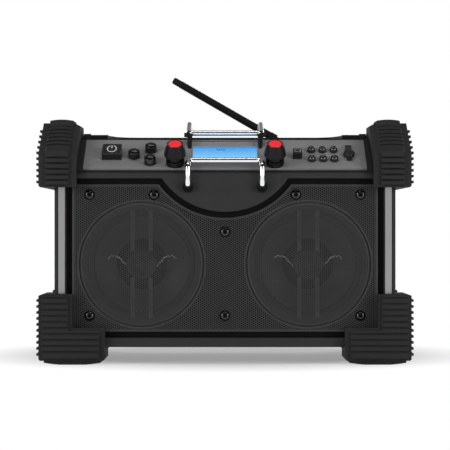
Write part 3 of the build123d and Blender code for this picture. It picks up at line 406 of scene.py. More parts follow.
def made_by(tree, points, sizes, piece, finish):
    """Runs the tree on a mesh of points, and returns the plain mesh that it makes."""
    base = bpy.data.meshes.new(tree.name)
    base.from_pydata(points, [], [])
    holder = bpy.data.objects.new(tree.name, base)
    bpy.context.collection.objects.link(holder)
    modifier = holder.modifiers.new("nodes", "NODES")
    modifier.node_group = tree
    values = dict(sizes, Piece=piece, Finish=finish)
    for item in tree.interface.items_tree:
        if item.in_out == "INPUT" and item.name in values:
            modifier[item.identifier] = values[item.name]
    return finished(holder)


def repeated(name, shape):
    """Object that a tree repeats, made from a bmesh and removed again after use."""
    mesh = bpy.data.meshes.new(name)
    shape.to_mesh(mesh)
    shape.free()
    unit = bpy.data.objects.new(name, mesh)
    bpy.context.collection.objects.link(unit)
    return unit


sheet_sizes = {
    "Pitch": hole_pitch,
    "From": -sheet_half,
    "To": sheet_half,
    "Low": sheet_low + plain_edge,
    "High": sheet_high - plain_edge,
    "Apron height": apron_z,
    "Apron radius": sheet_arc + plain_edge,
    "Driver X": speaker_x,
    "Driver Z": speaker_z,
    "Disc radius": disc_radius,
    "Disc rise": disc_rise,
}
punched, sheet = new_tree("punched_sheet", sheet_sizes)


def on_sheet(operation, *inputs):
    """Number worked out in the sheet's tree."""
    return number(punched, operation, *inputs)


def where():
    """X, Y and Z of the sheet's points as they stand."""
    position = node_in(punched, "GeometryNodeInputPosition").outputs[0]
    return node_in(punched, "ShaderNodeSeparateXYZ", position).outputs


def distance(across, up):
    """Distance from a point of the sheet, in the sheet's own plane."""
    squares = on_sheet("MULTIPLY", across, across), on_sheet("MULTIPLY", up, up)
    return on_sheet("SQRT", on_sheet("ADD", *squares))


column_pitch = on_sheet("MULTIPLY", sheet["Pitch"], math.sqrt(3) / 2)
columns = on_sheet("MULTIPLY", on_sheet("FLOOR", on_sheet("DIVIDE", lattice_half, column_pitch)), 2)
rows = on_sheet("CEIL", on_sheet("DIVIDE", lattice_height, sheet["Pitch"]))
wide, tall = on_sheet("MULTIPLY", columns, column_pitch), on_sheet("MULTIPLY", rows, sheet["Pitch"])
points_wide, points_tall = on_sheet("ADD", columns, 1), on_sheet("ADD", rows, 1)
lattice = node_in(punched, "GeometryNodeMeshGrid", wide, tall, points_wide, points_tall)
flat = where()
column = on_sheet("ROUND", on_sheet("DIVIDE", flat["X"], column_pitch))
half_pitch = on_sheet("DIVIDE", sheet["Pitch"], 2)
stagger = on_sheet("MULTIPLY", on_sheet("FLOORED_MODULO", column, 2), half_pitch)
height = on_sheet("ADD", on_sheet("ADD", flat["Y"], stagger), lattice_z)
upright = node_in(punched, "ShaderNodeCombineXYZ", flat["X"], sheet_y, height).outputs[0]
stood = node_in(punched, "GeometryNodeSetPosition", lattice.outputs[0], Position=upright)

here = where()
from_middle = on_sheet("ABSOLUTE", here["X"])
from_apron = distance(here["X"], on_sheet("SUBTRACT", here["Z"], sheet["Apron height"]))
from_driver = distance(
    on_sheet("SUBTRACT", from_middle, sheet["Driver X"]),
    on_sheet("SUBTRACT", here["Z"], sheet["Driver Z"]),
)
off_step = on_sheet("ABSOLUTE", on_sheet("SUBTRACT", from_driver, sheet["Disc radius"]))
plain_part = on_sheet("LESS_THAN", here["X"], sheet["From"])
for plain_here in (
    on_sheet("GREATER_THAN", here["X"], sheet["To"]),
    on_sheet("GREATER_THAN", from_middle, sheet_half - plain_edge),
    on_sheet("LESS_THAN", here["Z"], sheet["Low"]),
    on_sheet("GREATER_THAN", here["Z"], sheet["High"]),
    on_sheet("LESS_THAN", from_apron, sheet["Apron radius"]),
    on_sheet("LESS_THAN", off_step, plain_step),
):
    plain_part = on_sheet("MAXIMUM", plain_part, plain_here)
kept = node_in(punched, "GeometryNodeDeleteGeometry", stood.outputs[0], plain_part)
cell = node_in(punched, "GeometryNodeObjectInfo", sheet["Piece"]).outputs["Geometry"]
tiled = node_in(punched, "GeometryNodeInstanceOnPoints", kept.outputs[0], Instance=cell)
solid = node_in(punched, "GeometryNodeRealizeInstances", tiled.outputs[0])
joined = node_in(punched, "GeometryNodeMergeByDistance", solid.outputs[0], Distance=0.00002)
on_disc = on_sheet("LESS_THAN", from_driver, sheet["Disc radius"])
rise = on_sheet("MULTIPLY", on_disc, on_sheet("MULTIPLY", sheet["Disc rise"], -1))
outward = node_in(punched, "ShaderNodeCombineXYZ", Y=rise).outputs[0]
pressed = node_in(punched, "GeometryNodeSetPosition", joined.outputs[0], Offset=outward)
coated = node_in(punched, "GeometryNodeSetMaterial", pressed.outputs[0], Material=sheet["Finish"])
node_in(punched, "NodeGroupOutput", coated.outputs[0])

powder_coat = moulded("powder_coat", (0.039, 0.039, 0.040), 0.5, grain=0.15, Specular_IOR_Level=0.3)


def joined_rings(shape, rings, closed=False):
    """Adds the faces between neighbouring rings of points."""
    loops = [[shape.verts.new(point) for point in ring] for ring in rings]
    following = loops[1:] + loops[:1] if closed else loops[1:]
    for near, far in zip(loops, following):
        for k in range(len(near)):
            j = (k + 1) % len(near)
            shape.faces.new((near[k], near[j], far[j], far[k]))
    return shape


cell_radius = hole_pitch / math.sqrt(3)
cell_rings = ((cell_radius, 0), (hole_radius, 0), (hole_radius, sheet_t), (cell_radius, sheet_t))
turns = [math.radians(60 * k) for k in range(6)]
hole_rings = [[(radius * math.cos(a), y, radius * math.sin(a)) for a in turns] for radius, y in cell_rings]
hole_cell = repeated("one_hole", joined_rings(bmesh.new(), hole_rings))
seam_x, past_edge = -0.0001, 0.2
for side, start, end in (("left", -past_edge, seam_x), ("right", seam_x, past_edge)):
    half = made_by(punched, [(0, 0, 0)], dict(sheet_sizes, From=start, To=end), hole_cell, powder_coat)
    name = f"punched_sheet_{side}"
    place_piece(name, half, powder_coat, "housing", "grille_steel", "speaker_grille", sharp=60)
bpy.data.objects.remove(hole_cell)

groove_outside = [(0.0030, 0.0007), (0.0030, -0.00008), (0.0012, -0.00006), (0.0008, 0.0004)]
groove_floor = [(0.0006, 0.0020), (-0.0006, 0.0020), (-0.0008, 0.0002)]
disc_edge = [(-0.0012, -0.0009), (-0.0016, -0.00122), (-0.0021, -0.00115), (-0.0030, -0.00098)]
back = [(-0.0030, 0.0003), (-0.0016, 0.0006), (-0.0012, 0.0027), (0.0011, 0.0027)]
outline = groove_outside + groove_floor + disc_edge + back
step = [(disc_radius + out, sheet_y + depth) for out, depth in outline]
steps_pressed = bmesh.new()
for side in (-1, 1):
    lathe(steps_pressed, step, facing_back(side * speaker_x, speaker_z), steps=128, closed=True)
place_piece("pressed_steps", steps_pressed, powder_coat, "housing", "grille_steel", "speaker_grille")


def sheet_edge(inset, y):
    """Outline of the sheet, drawn in by this much, with rounded corners and the arc under the apron."""
    half, low, high = sheet_half - inset, sheet_low + inset, sheet_high - inset
    radius, rounding = sheet_arc + inset, corner_radius - inset
    reach = math.degrees(math.asin((apron_z - high) / radius))
    points = arc((0, apron_z), radius, -reach, reach - 180, 32)
    for sx, sz, start in ((-1, 1, 90), (-1, -1, 180), (1, -1, 270), (1, 1, 0)):
        middle = (sx * (half - rounding), (high if sz > 0 else low) - sz * rounding)
        points += arc(middle, rounding, start, start + 90, 6)
    return [(x, y, z) for x, z in points]


fold_outside = [(0, baffle_y), (0, sheet_y + 0.0009), (0.0003, sheet_y + 0.0002)]
fold_face = [(0.0010, sheet_y - 0.0001), (0.0030, sheet_y - 0.0001)]
fold_inside = [(0.0030, sheet_y + 0.0008), (0.0010, sheet_y + 0.0010), (0.0010, baffle_y)]
fold_rings = [sheet_edge(inset, y) for inset, y in fold_outside + fold_face + fold_inside]
fold = joined_rings(bmesh.new(), fold_rings, closed=True)
place_piece("grille_fold", fold, powder_coat, "housing", "grille_steel", "speaker_grille")

# --- screws -------------------------------------------------------------------------------------
# Button-head screws in black zinc, cold headed with a round rim and a hexagon socket. Eight hold the
# grille to the baffle, each on a soft washer, and eight hold the rear cover to the cabinet.

cover_y = 0.103
black_zinc = brushed("black_zinc", (0.055, 0.055, 0.058), 0.12, scale=900)
shank = [(0, 0.0090), (0.0020, 0.0090), (0.0020, 0.0002)]
rim = [(0.0054, 0.0002), (0.0055, -0.0005), (0.0053, -0.0012), (0.0049, -0.0018), (0.0043, -0.0023)]
rim += [(0.0037, -0.0026), (0.0031, -0.0028)]
recess = [(0.0027, -0.0028), (0.0025, -0.0026), (0.0025, -0.0004), (0, -0.0003)]
head = lathe(bmesh.new(), shank + rim + recess, facing_back(0, 0), steps=24)
bmesh.ops.recalc_face_normals(head, faces=head.faces)
screw = repeated("screw", head)

set_out, row = new_tree("piece_at_each_point", ["Half turns"])
turned = number(set_out, "MULTIPLY", row["Half turns"], math.pi)
spun = node_in(set_out, "ShaderNodeCombineXYZ", Z=turned).outputs[0]
unit = node_in(set_out, "GeometryNodeObjectInfo", row["Piece"]).outputs["Geometry"]
seated = node_in(set_out, "GeometryNodeInstanceOnPoints", row["Geometry"], Instance=unit, Rotation=spun)
solid = node_in(set_out, "GeometryNodeRealizeInstances", seated.outputs[0])
coated = node_in(set_out, "GeometryNodeSetMaterial", solid.outputs[0], Material=row["Finish"])
node_in(set_out, "NodeGroupOutput", coated.outputs[0])

grille_corners = ((0.1656, 0.207), (0.0868, 0.207), (0.1656, 0.059))
grille_places = [(side * x, sheet_y, z) for side in (-1, 1) for x, z in grille_corners]
grille_places += [(0, sheet_y, 0.1615), (0, sheet_y, 0.059)]
cover_corners = ((0.172, 0.112), (0.172, 0.190), (0.060, 0.038), (0.060, 0.250))
cover_places = [(side * x, cover_y, z) for side in (-1, 1) for x, z in cover_corners]
for node, places, turns in (("grille_screws", grille_places, 0.0), ("rear_cover_screws", cover_places, 1.0)):
    screws = made_by(set_out, places, {"Half turns": turns}, screw, black_zinc)
    place_piece(node + "_set", screws, black_zinc, "housing", "screw_black", node)
bpy.data.objects.remove(screw)

# Near-black rings under the grille screws' heads and hexagon liners in their sockets: soft washers in part,
# and painted shade round and inside the heads.
washer_profile = [(0.0052, 0.0003), (0.0052, -0.0004), (0.0056, -0.0009), (0.0063, -0.0008)]
washer_profile += [(0.0066, -0.0002), (0.0066, 0.0003)]
socket_wall = [(0.0025, -0.0026), (0.0022, -0.0026), (0.0021, -0.0010)]
socket_floor = [(0, -0.0008), (0, -0.0005), (0.0025, -0.0005)]
washer_and_socket_shade = lathe(bmesh.new(), washer_profile, facing_back(0, 0), steps=24, closed=True)
lathe(washer_and_socket_shade, socket_wall + socket_floor, facing_back(0, 0), steps=6)
bmesh.ops.recalc_face_normals(washer_and_socket_shade, faces=washer_and_socket_shade.faces)
washer = repeated("washer", washer_and_socket_shade)
washers = made_by(set_out, grille_places, {"Half turns": 0.0}, washer, neck_black)
place_piece("grille_washers", washers, neck_black, "housing", "screw_black")
bpy.data.objects.remove(washer)

# --- boards and battery -------------------------------------------------------------------------
# Glass-fibre boards with a green solder mask, and a battery pack in a dark shrink sleeve. They are
# out of sight in the closed radio.

solder_mask = moulded("solder_mask", (0.02, 0.1, 0.035), 0.3)
finish_node("control_board", solder_mask)
finish_node("main_board", solder_mask)
finish_node("battery_pack", moulded("shrink_sleeve", (0.02, 0.025, 0.035), 0.45))

# --- control panel ------------------------------------------------------------------------------
# A mid grey moulding let into the sloped front of the deck, with holes for the keys and knob shafts
# and a recess for the lens. Its face is satin.

panel_y, panel_z, panel_slope, panel_width = -0.101, 0.2393, math.radians(34.2), 0.347
panel = Matrix.Translation((0, panel_y, panel_z)) @ Matrix.Rotation(panel_slope, 4, "X")
panel_grey = moulded("panel_grey", (0.20, 0.20, 0.202), 0.5, grain=0.15, Specular_IOR_Level=0.25)
panel_skin = rounded_copy("control_panel", 0.0004)
place_piece("control_panel_skin", panel_skin, panel_grey, "housing", "panel_grey", "control_panel")

# --- display ------------------------------------------------------------------------------------
# A backlit negative display on the control board, under a clear acrylic lens that lies in the panel
# and is printed with a border from behind. The light comes from below the glass, so it is brightest
# along the lower edge. Four plain dashes stand for a reading.

display_half, display_up, display_high, cell_depth = 0.0395, 0.0252, 0.0526, (-0.01095, -0.0017)
mask_half, mask_low, mask_high, mask_depth = 0.0413, 0.0028, 0.0637, (-0.00155, -0.00145)
lens_half, lens_low, lens_high, lens_depth = 0.0415, 0.0025, 0.064, (-0.0016, 0.0004)
dash_width, dash_low, dash_high, dash_height = 0.0016, 0.0441, 0.0469, -0.0017


def slab(shape, x, up, height):
    """Adds a block given by low and high limits across, up and square to the panel."""
    size = [b - a for a, b in (x, up, height)]
    middle = [(a + b) / 2 for a, b in (x, up, height)]
    matrix = panel @ Matrix.Translation(middle) @ Matrix.Diagonal((*size, 1))
    bmesh.ops.create_cube(shape, size=1, matrix=matrix)
    return shape


def printed(shape, line, width, height):
    """Adds a printed line of this width along (across, up) points, at this height over the panel."""
    points = [Vector(p) for p in line]
    for near, far in zip(points, points[1:]):
        side = (far - near).orthogonal().normalized() * width / 2
        corners = [near - side, near + side, far + side, far - side]
        levels = (height - 0.0002, height + 0.00006)
        bottom, top = [[shape.verts.new(panel @ Vector((*p, up))) for p in corners] for up in levels]
        shape.faces.new(top)
        shape.faces.new(bottom)
        for j in range(4):
            shape.faces.new((bottom[j], bottom[(j + 1) % 4], top[(j + 1) % 4], top[j]))
    return shape


lit, tree, shader = new_finish("backlit_display")
point = node_in(tree, "ShaderNodeTexCoord").outputs["Object"]
point_z = node_in(tree, "ShaderNodeSeparateXYZ", point).outputs["Z"]
lower_z, upper_z = [panel_z + up * math.sin(panel_slope) for up in (display_up, display_high)]
rise = node_in(tree, "ShaderNodeMapRange", point_z, lower_z, upper_z).outputs["Result"]
glow = node_in(tree, "ShaderNodeValToRGB", rise)
glow.color_ramp.elements[0].color = (0.25, 0.66, 1.0, 1)
glow.color_ramp.elements[1].color = (0.011, 0.28, 0.85, 1)
plugged(tree, shader, Emission_Color=glow.outputs["Color"], Emission_Strength=1.0)
plugged(tree, shader, Base_Color=(0.01, 0.04, 0.08, 1), Roughness=0.2)
lcd = slab(bmesh.new(), (-display_half, display_half), (display_up, display_high), cell_depth)
place_piece("display_cell", lcd, lit, "housing", "display_blue", "lcd_module")

segment_blue = moulded("segment_blue", (0.01, 0.05, 0.22), 0.5, grain=0.02)
digits = bmesh.new()
for across in (-0.0100, -0.0072, -0.0038, -0.0010):
    printed(digits, [(across, dash_low), (across, dash_high)], dash_width, dash_height)
place_piece("display_digits", digits, segment_blue, "housing", "display_blue")

mask_grey = moulded("mask_grey", (0.33, 0.33, 0.325), 0.5, grain=0.02)
mask = slab(bmesh.new(), (-mask_half, mask_half), (display_high, mask_high), mask_depth)
for side in (-1, 1):
    slab(mask, sorted((side * display_half, side * mask_half)), (display_up, display_high), mask_depth)
place_piece("lens_mask", mask, mask_grey, "housing", "panel_grey")
lower_mask = slab(bmesh.new(), (-mask_half, mask_half), (mask_low, display_up), mask_depth)
place_piece("lens_mask_lower", lower_mask, panel_grey, "housing", "panel_grey")

clear_acrylic, tree, shader = new_finish("clear_acrylic")
tree.nodes.remove(shader)
through = node_in(tree, "ShaderNodeBsdfTransparent", Color=(0.93, 0.94, 0.95, 1)).outputs["BSDF"]
shine = node_in(tree, "ShaderNodeBsdfGlossy", Roughness=0.04).outputs["BSDF"]
outer_side = number(tree, "SUBTRACT", 1, node_in(tree, "ShaderNodeNewGeometry").outputs["Backfacing"])
edge_on = node_in(tree, "ShaderNodeFresnel", IOR=1.3).outputs["Fac"]
mirror_share = number(tree, "MULTIPLY", edge_on, outer_side)
both = node_in(tree, "ShaderNodeMixShader", mirror_share, through, shine)
plugged(tree, tree.nodes["Material Output"], Surface=both.outputs["Shader"])
lens = slab(bmesh.new(), (-lens_half, lens_half), (lens_low, lens_high), lens_depth)
place_piece("lens_sheet", lens, clear_acrylic, "housing", "lens", "display_lens")

# --- power indicator ----------------------------------------------------------------------------
# A clear blue light-emitting diode whose domed end stands just proud of the panel.

led_x, led_up, led_radius = -0.1566, 0.0158, 0.0016
led_blue = moulded("led_blue", (0.16, 0.17, 0.26), 0.2, grain=0.02)
led_body = [(0, -0.011), (led_radius, -0.011), (led_radius, -0.0002)]
led_dome = [(0.0013, 0.0003), (0.0007, 0.0005), (0, 0.0005)]
led = lathe(bmesh.new(), led_body + led_dome, panel @ Matrix.Translation((led_x, led_up, 0)), 24)
place_piece("indicator_lamp", led, led_blue, "housing", "led_blue", "power_led")

# --- keys ---------------------------------------------------------------------------------------
# Silicone rubber keys that stand through the panel: domed round ones, glossier small ones for the
# stations, and two tall square ones. The symbols on the square ones are printed in grey.

round_radius, round_rise, round_dome = 0.0072, 0.0080, 0.0028
station_radius, station_rise, station_dome = 0.00485, 0.0034, 0.0036
station_pitch, station_row = 0.01385, 0.021
flange_depth, flange_top, flange_reach = -0.0046, -0.0031, 0.001
key_black, key_grain = (0.008, 0.008, 0.0084), 0.0004
key_rubber = moulded("key_rubber", key_black, 0.12, 0.04, key_grain, Specular_IOR_Level=0.5)
station_rubber = moulded("station_rubber", key_black, 0.08, 0.02, key_grain, Specular_IOR_Level=0.9)


def domed_key(x, up, radius, rise, dome):
    """Key with a flange under the panel and a domed top, at this place on the panel."""
    ball = (radius**2 + dome**2) / (2 * dome)
    lip = math.degrees(math.asin(radius / ball))
    rim = radius + flange_reach
    flange = [(0, flange_depth), (rim, flange_depth), (rim, flange_top)]
    wall = [(radius, flange_top), (radius, rise - 0.0006), (radius - 0.00015, rise + 0.0001)]
    top = arc((0, rise + dome - ball), ball, 90 - lip * 0.94, 90, 12)[:-1] + [(0, rise + dome)]
    return lathe(bmesh.new(), flange + wall + top, panel @ Matrix.Translation((x, up, 0)), steps=48)


for name, x_share, up in (
    ("mode_button", -0.3231, 0.0266),
    ("seek_up_button", -0.2648, 0.0406),
    ("seek_down_button", -0.2648, 0.0126),
):
    key = domed_key(x_share * panel_width, up, round_radius, round_rise, round_dome)
    place_piece(name + "_cap", key, key_rubber, name, "key_rubber", name)
for n in range(6):
    name = f"preset_button_{n + 1}"
    x, up = 0.3078 * panel_width + station_pitch * (n % 3), 0.0188 + station_row * (1 - n // 3)
    key = domed_key(x, up, station_radius, station_rise, station_dome)
    place_piece(name + "_cap", key, station_rubber, name, "key_rubber", name)
for name in ("power_button", "source_button"):
    place_piece(name + "_cap", rounded_copy(name, 0.0003), key_rubber, name, "key_rubber", name)

square_rise = 0.0088
light_print = moulded("light_print", (0.6, 0.6, 0.6), 0.5, grain=0.02)
power_at = Vector((-0.4023 * panel_width, 0.0194 + 0.01195))
power_sign = bmesh.new()
sweep = [math.radians(112 + 316 * k / 24) for k in range(25)]
ring = [power_at + Vector((0.0055 * math.cos(a), 0.0072 * math.sin(a))) for a in sweep]
printed(power_sign, ring, 0.00135, square_rise)
bar = [power_at + Vector((0, up)) for up in (0.0006, 0.0074)]
printed(power_sign, bar, 0.0013, square_rise)
place_piece("power_sign", power_sign, light_print, "power_button", "key_rubber")
source_at = Vector((0.2579 * panel_width, 0.0219 + 0.00565))
corners = ((-1, -1), (1, -1), (1, 1), (-1, 1), (-1, -1))
box = [source_at + Vector((x * 0.0034, y * 0.0030)) for x, y in corners]
source_sign = printed(bmesh.new(), box, 0.0008, square_rise)
place_piece("source_sign", source_sign, mask_grey, "source_button", "key_rubber")

# --- knobs --------------------------------------------------------------------------------------
# Each knob has a soft rubber grip that flares towards the panel, a glossy red cap with a darker rim
# pressed into its top, and a moulded collar under it. The shaft is turned steel.

knob_x, knob_up, foot, top = 0.061, 0.0107, 0.012, 0.0283
grip_rubber = moulded("grip_rubber", (0.0045, 0.0047, 0.0058), 0.4, grain=0.2, Specular_IOR_Level=0.22)
glossy = {"grain": 0.02, "mottle": 0.04, "Specular_IOR_Level": 0.3}
red_gloss = moulded("red_gloss", (0.98, 0.034, 0.042), 0.3, **glossy)
dark_red = moulded("dark_red", (0.16, 0.006, 0.008), 0.3, **glossy)
turned_steel = brushed("turned_steel", (0.5, 0.5, 0.5), 0.3, stretch=(1, 1, 0.2))
collar_black = moulded("collar_black", (0.003, 0.003, 0.0032), 0.3, grain=0.1, Specular_IOR_Level=0.25)

grip_skirt = [(0, foot), (0.0120, foot), (0.0130, foot + 0.0003), (0.0135, foot + 0.0012)]
grip_wall = [(0.0135, foot + 0.0022), (0.0131, foot + 0.0050), (0.0125, foot + 0.0080)]
grip_wall += [(0.0119, foot + 0.0110), (0.0113, foot + 0.0133), (0.0106, foot + 0.0152)]
grip_rim = [(0.0104, top - 0.0005), (0.0101, top - 0.0001), (0.0096, top)]
grip_well = [(0.0095, top - 0.0008), (0.0095, top - 0.0016), (0, top - 0.0016)]
cap_profile = [(0, top - 0.0016), (0.0080, top - 0.0016), (0.0080, top - 0.0001), (0.0077, top + 0.0003)]
cap_profile += [(0.0073, top + 0.0004), (0.0056, top + 0.0002), (0.003, top), (0, top - 0.0001)]
rim_profile = [(0.0081, top - 0.0014), (0.0094, top - 0.0014), (0.0094, top - 0.0001)]
rim_profile += [(0.0091, top + 0.0003), (0.0084, top + 0.0003), (0.0081, top)]
collar_profile = [(0.0034, 0), (0.0110, 0), (0.0114, 0.0010), (0.0114, 0.0039), (0.0107, 0.0043)]
collar_profile += [(0.0107, 0.0049), (0.0112, 0.0052), (0.0114, 0.0055), (0.0114, 0.0062), (0.0112, 0.0065)]
collar_profile += [(0.0090, 0.0068), (0.0088, 0.0115), (0.0086, 0.0117), (0.0034, 0.0117)]
collars = bmesh.new()
for name, side in (("volume", -1), ("tuning", 1)):
    knob, knob_cap = f"{name}_knob", f"{name}_knob_cap"
    on_panel = panel @ Matrix.Translation((side * knob_x, knob_up, 0))
    grip = lathe(bmesh.new(), grip_skirt + grip_wall + grip_rim + grip_well, on_panel, steps=96)
    place_piece(f"{name}_grip", grip, grip_rubber, knob, "key_rubber", knob)
    cap = lathe(bmesh.new(), cap_profile, on_panel, steps=96)
    place_piece(f"{name}_red_cap", cap, red_gloss, knob, "red_plastic", knob_cap)
    rim = lathe(bmesh.new(), rim_profile, on_panel, steps=96, closed=True)
    place_piece(f"{name}_cap_rim", rim, dark_red, knob, "red_plastic")
    lathe(collars, collar_profile, on_panel, steps=96, closed=True)
    finish_node(f"{name}_shaft", turned_steel)
place_piece("knob_collar_pair", collars, collar_black, "housing", "key_rubber", "knob_collars")

# --- jack cover ---------------------------------------------------------------------------------
# Soft rubber cap on a strap, with a plug on its underside and a tab to pull it up by. The socket
# under it is moulded in black.

plug_cap = rounded_copy("aux_cover", 0.0004)
place_piece("jack_cover", plug_cap, key_rubber, "aux_cover", "key_rubber", "aux_cover")
finish_node("aux_socket", collar_black)

# --- guard bars ---------------------------------------------------------------------------------
# Two hoops of bright chromed 7 mm steel rod that keep the display from knocks. The front one is held
# in rubber grommets in the frame, the rear one in boots in the deck and on two moulded posts.

bar_x, rod_radius, rod_bend = 0.0453, 0.0035, 0.0065
chrome = brushed("bright_chrome", (0.86, 0.87, 0.88), 0.05, scale=300)
boot_rubber = moulded("boot_rubber", (0.004, 0.004, 0.004), 0.6, Specular_IOR_Level=0.2)


def hoop(half):
    """Rod through these (y, z) points of its right half and back through its left half."""
    points = [(bar_x, y, z) for y, z in half] + [(-bar_x, y, z) for y, z in reversed(half)]
    rod = arc((0, 0), rod_radius, 0, 348.75, 31)
    return drawn(bmesh.new(), bent(points, rod_bend), rod, Vector((1, 0, 0)))


front_hoop = hoop([(-0.091, 0.216), (-0.1105, 0.216), (-0.1105, 0.2423), (-0.099, 0.2491)])
place_piece("front_guard_bar_rod", front_hoop, chrome, "housing", "chrome", "front_guard_bar", sharp=60)
rear_hoop = hoop([(-0.008, 0.26698), (-0.008, 0.30018), (-0.055, 0.28458)])
place_piece("rear_guard_bar_rod", rear_hoop, chrome, "housing", "chrome", "rear_guard_bar", sharp=60)

grommet_wall = [(0.00355, 0), (0.00555, 0), (0.00555, 0.008), (0.0060, 0.008), (0.0065, 0.0084)]
grommet_lip = [(0.0065, 0.0092), (0.0060, 0.0096), (0.0042, 0.0096), (0.00355, 0.0092)]
boot_wall = [(0.00355, -0.004), (0.00555, -0.004), (0.00555, 0), (0.0065, 0), (0.0065, 0.0018)]
boot_lip = [(0.0055, 0.0030), (0.0040, 0.0030), (0.00355, 0.0028)]
sleeve_line = ((-0.1030, 0.2160), (-0.1056, 0.2162), (-0.1080, 0.2172), (-0.1097, 0.2190))
grommets = bmesh.new()
for x in (-bar_x, bar_x):
    in_frame = Matrix.Translation((x, -0.095, 0.216)) @ Matrix.Rotation(math.radians(90), 4, "X")
    lathe(grommets, grommet_wall + grommet_lip, in_frame, steps=40, closed=True)
    in_deck = Matrix.Translation((x, -0.008, 0.26998))
    lathe(grommets, boot_wall + boot_lip, in_deck, steps=40, closed=True)
    sleeve = [Vector((x, y, z)) for y, z in sleeve_line]
    drawn(grommets, sleeve, arc((0, 0), 0.0050, 0, 345, 23), Vector((1, 0, 0)))
place_piece("rod_grommets", grommets, boot_rubber, "housing", "rubber", "guard_grommets")
posts = rounded_copy("guard_posts", 0.0006)
place_piece("rod_posts", posts, boot_rubber, "housing", "key_rubber", "guard_posts")

# --- corner guards ------------------------------------------------------------------------------
# Eight thick mouldings in soft black rubber, pushed over the corners of the cabinet. Their faces are
# ribbed for grip. The crowned top ones keep their ribs crisp, and the foot ones' edges are rounded.

coarse = {"grain": 0.3, "pitch": 0.0009, "Specular_IOR_Level": 0.2}
guard_rubber = moulded("guard_rubber", (0.0205, 0.0205, 0.0208), 0.7, **coarse)
for level, edge in (("top", 0), ("foot", 0.0009)):
    for end in ("front", "rear"):
        for side in ("left", "right"):
            node = f"{level}_guard_{end}_{side}"
            skin = rounded_copy(node, edge)
            place_piece(node + "_skin", skin, guard_rubber, "housing", "rubber", node)

# --- carry handle -------------------------------------------------------------------------------
# A moulded bail with a rounded rectangular section that swings on two trunnions in the deck's ears
# and lies in the well behind the deck rim when it is folded.

handle_black = moulded("handle_black", (0.0035, 0.0035, 0.0037), 0.6, Specular_IOR_Level=0.15)
bail = rounded_copy("carry_handle")
place_piece("carry_handle_bail", bail, handle_black, "handle", "rubber", "carry_handle")

# --- antenna ------------------------------------------------------------------------------------
# A sprung whip sleeved in rubber that is moulded in fine rings, tipped with a plain cap. It tilts
# on a steel pin in a forked base screwed to the deck.

pivot, lean = Vector((0.0749, 0.088, 0.28058)), math.radians(29.9)
first_ring, last_ring, ring_pitch = 0.021, 0.158, 0.00225
along = Matrix.Translation(pivot) @ Matrix.Rotation(lean - math.pi / 2, 4, "Y")
whip_rubber = moulded("whip_rubber", (0.005, 0.005, 0.0052), 0.6, Specular_IOR_Level=0.2)
fork = rounded_copy("antenna_base", 0.0003)
place_piece("antenna_fork", fork, black_abs, "housing", "black_plastic", "antenna_base")
whip = rounded_copy("antenna_whip")
place_piece("antenna_rod", whip, whip_rubber, "antenna", "rubber", "antenna_whip")
band_profile = [(0.0042, -0.0006), (0.0048, -0.0006), (0.0051, -0.0002)]
band_profile += [(radius, -height) for radius, height in reversed(band_profile)]
band = lathe(bmesh.new(), band_profile, along.to_3x3().to_4x4(), steps=20, closed=True)
bmesh.ops.recalc_face_normals(band, faces=band.faces)
sleeve_ring = repeated("sleeve_ring", band)
ring_count = int((last_ring - first_ring) / ring_pitch)
ring_places = [along @ Vector((0, 0, first_ring + ring_pitch * k)) for k in range(ring_count)]
sleeve = made_by(set_out, ring_places, {"Half turns": 0.0}, sleeve_ring, whip_rubber)
place_piece("antenna_sleeve", sleeve, whip_rubber, "antenna", "rubber")
bpy.data.objects.remove(sleeve_ring)

# --- studio -------------------------------------------------------------------------------------
# A pale floor that fades to white away from the radio's shadow, under a plain white surround, with a
# long soft light overhead, two at the front's sides and two weaker ones behind. Two dark screens,
# left and right behind the radio, show only in its gloss and give the chrome its edges.


def seen_directly(tree):
    """1 for camera, glossy and transmitted rays, and 0 for the light that falls on things."""
    rays = node_in(tree, "ShaderNodeLightPath").outputs
    mirrored = number(tree, "MAXIMUM", rays["Is Glossy Ray"], rays["Is Transmission Ray"])
    return number(tree, "MAXIMUM", rays["Is Camera Ray"], mirrored)


shadow_half_x, shadow_half_y, shadow_y = 0.235, 0.178, 0.05
fade_start, fade_end, white_in_shadow = 0.82, 1.5, 0.3
floor_finish, tree, shader = new_finish("pale_floor")
point = node_in(tree, "ShaderNodeTexCoord").outputs["Object"]
speckled = tinted(tree, noise(tree, point, 60), [0.82] * 3, [0.86] * 3)
plugged(tree, shader, Base_Color=speckled, Roughness=0.6)
from_shadow = node_in(
    tree,
    "ShaderNodeMapping",
    Vector=point,
    Location=(0, -shadow_y / shadow_half_y, 0),
    Scale=(1 / shadow_half_x, 1 / shadow_half_y, 1),
).outputs["Vector"]
reach = node_in(tree, "ShaderNodeVectorMath", from_shadow, options={"operation": "LENGTH"})
fade = node_in(tree, "ShaderNodeMapRange", reach.outputs["Value"], fade_start, fade_end, white_in_shadow, 1)
white = node_in(tree, "ShaderNodeEmission", Strength=1).outputs["Emission"]
white_share = number(tree, "MULTIPLY", fade.outputs["Result"], seen_directly(tree))
blend = node_in(tree, "ShaderNodeMixShader", white_share, shader.outputs["BSDF"], white)
plugged(tree, tree.nodes["Material Output"], Surface=blend.outputs["Shader"])
bpy.ops.mesh.primitive_plane_add(size=60)
floor = bpy.context.object
floor.name = "floor"
floor.data.materials.append(floor_finish)

world = bpy.data.worlds.new("studio")
bpy.context.scene.world = world
world.use_nodes = True
tree = world.node_tree


def softly(value, start, end, low, high):
    """Number that eases from low to high while the value goes from start to end."""
    easing = {"interpolation_type": "SMOOTHSTEP"}
    eased = node_in(tree, "ShaderNodeMapRange", value, start, end, low, high, options=easing)
    return eased.outputs["Result"]


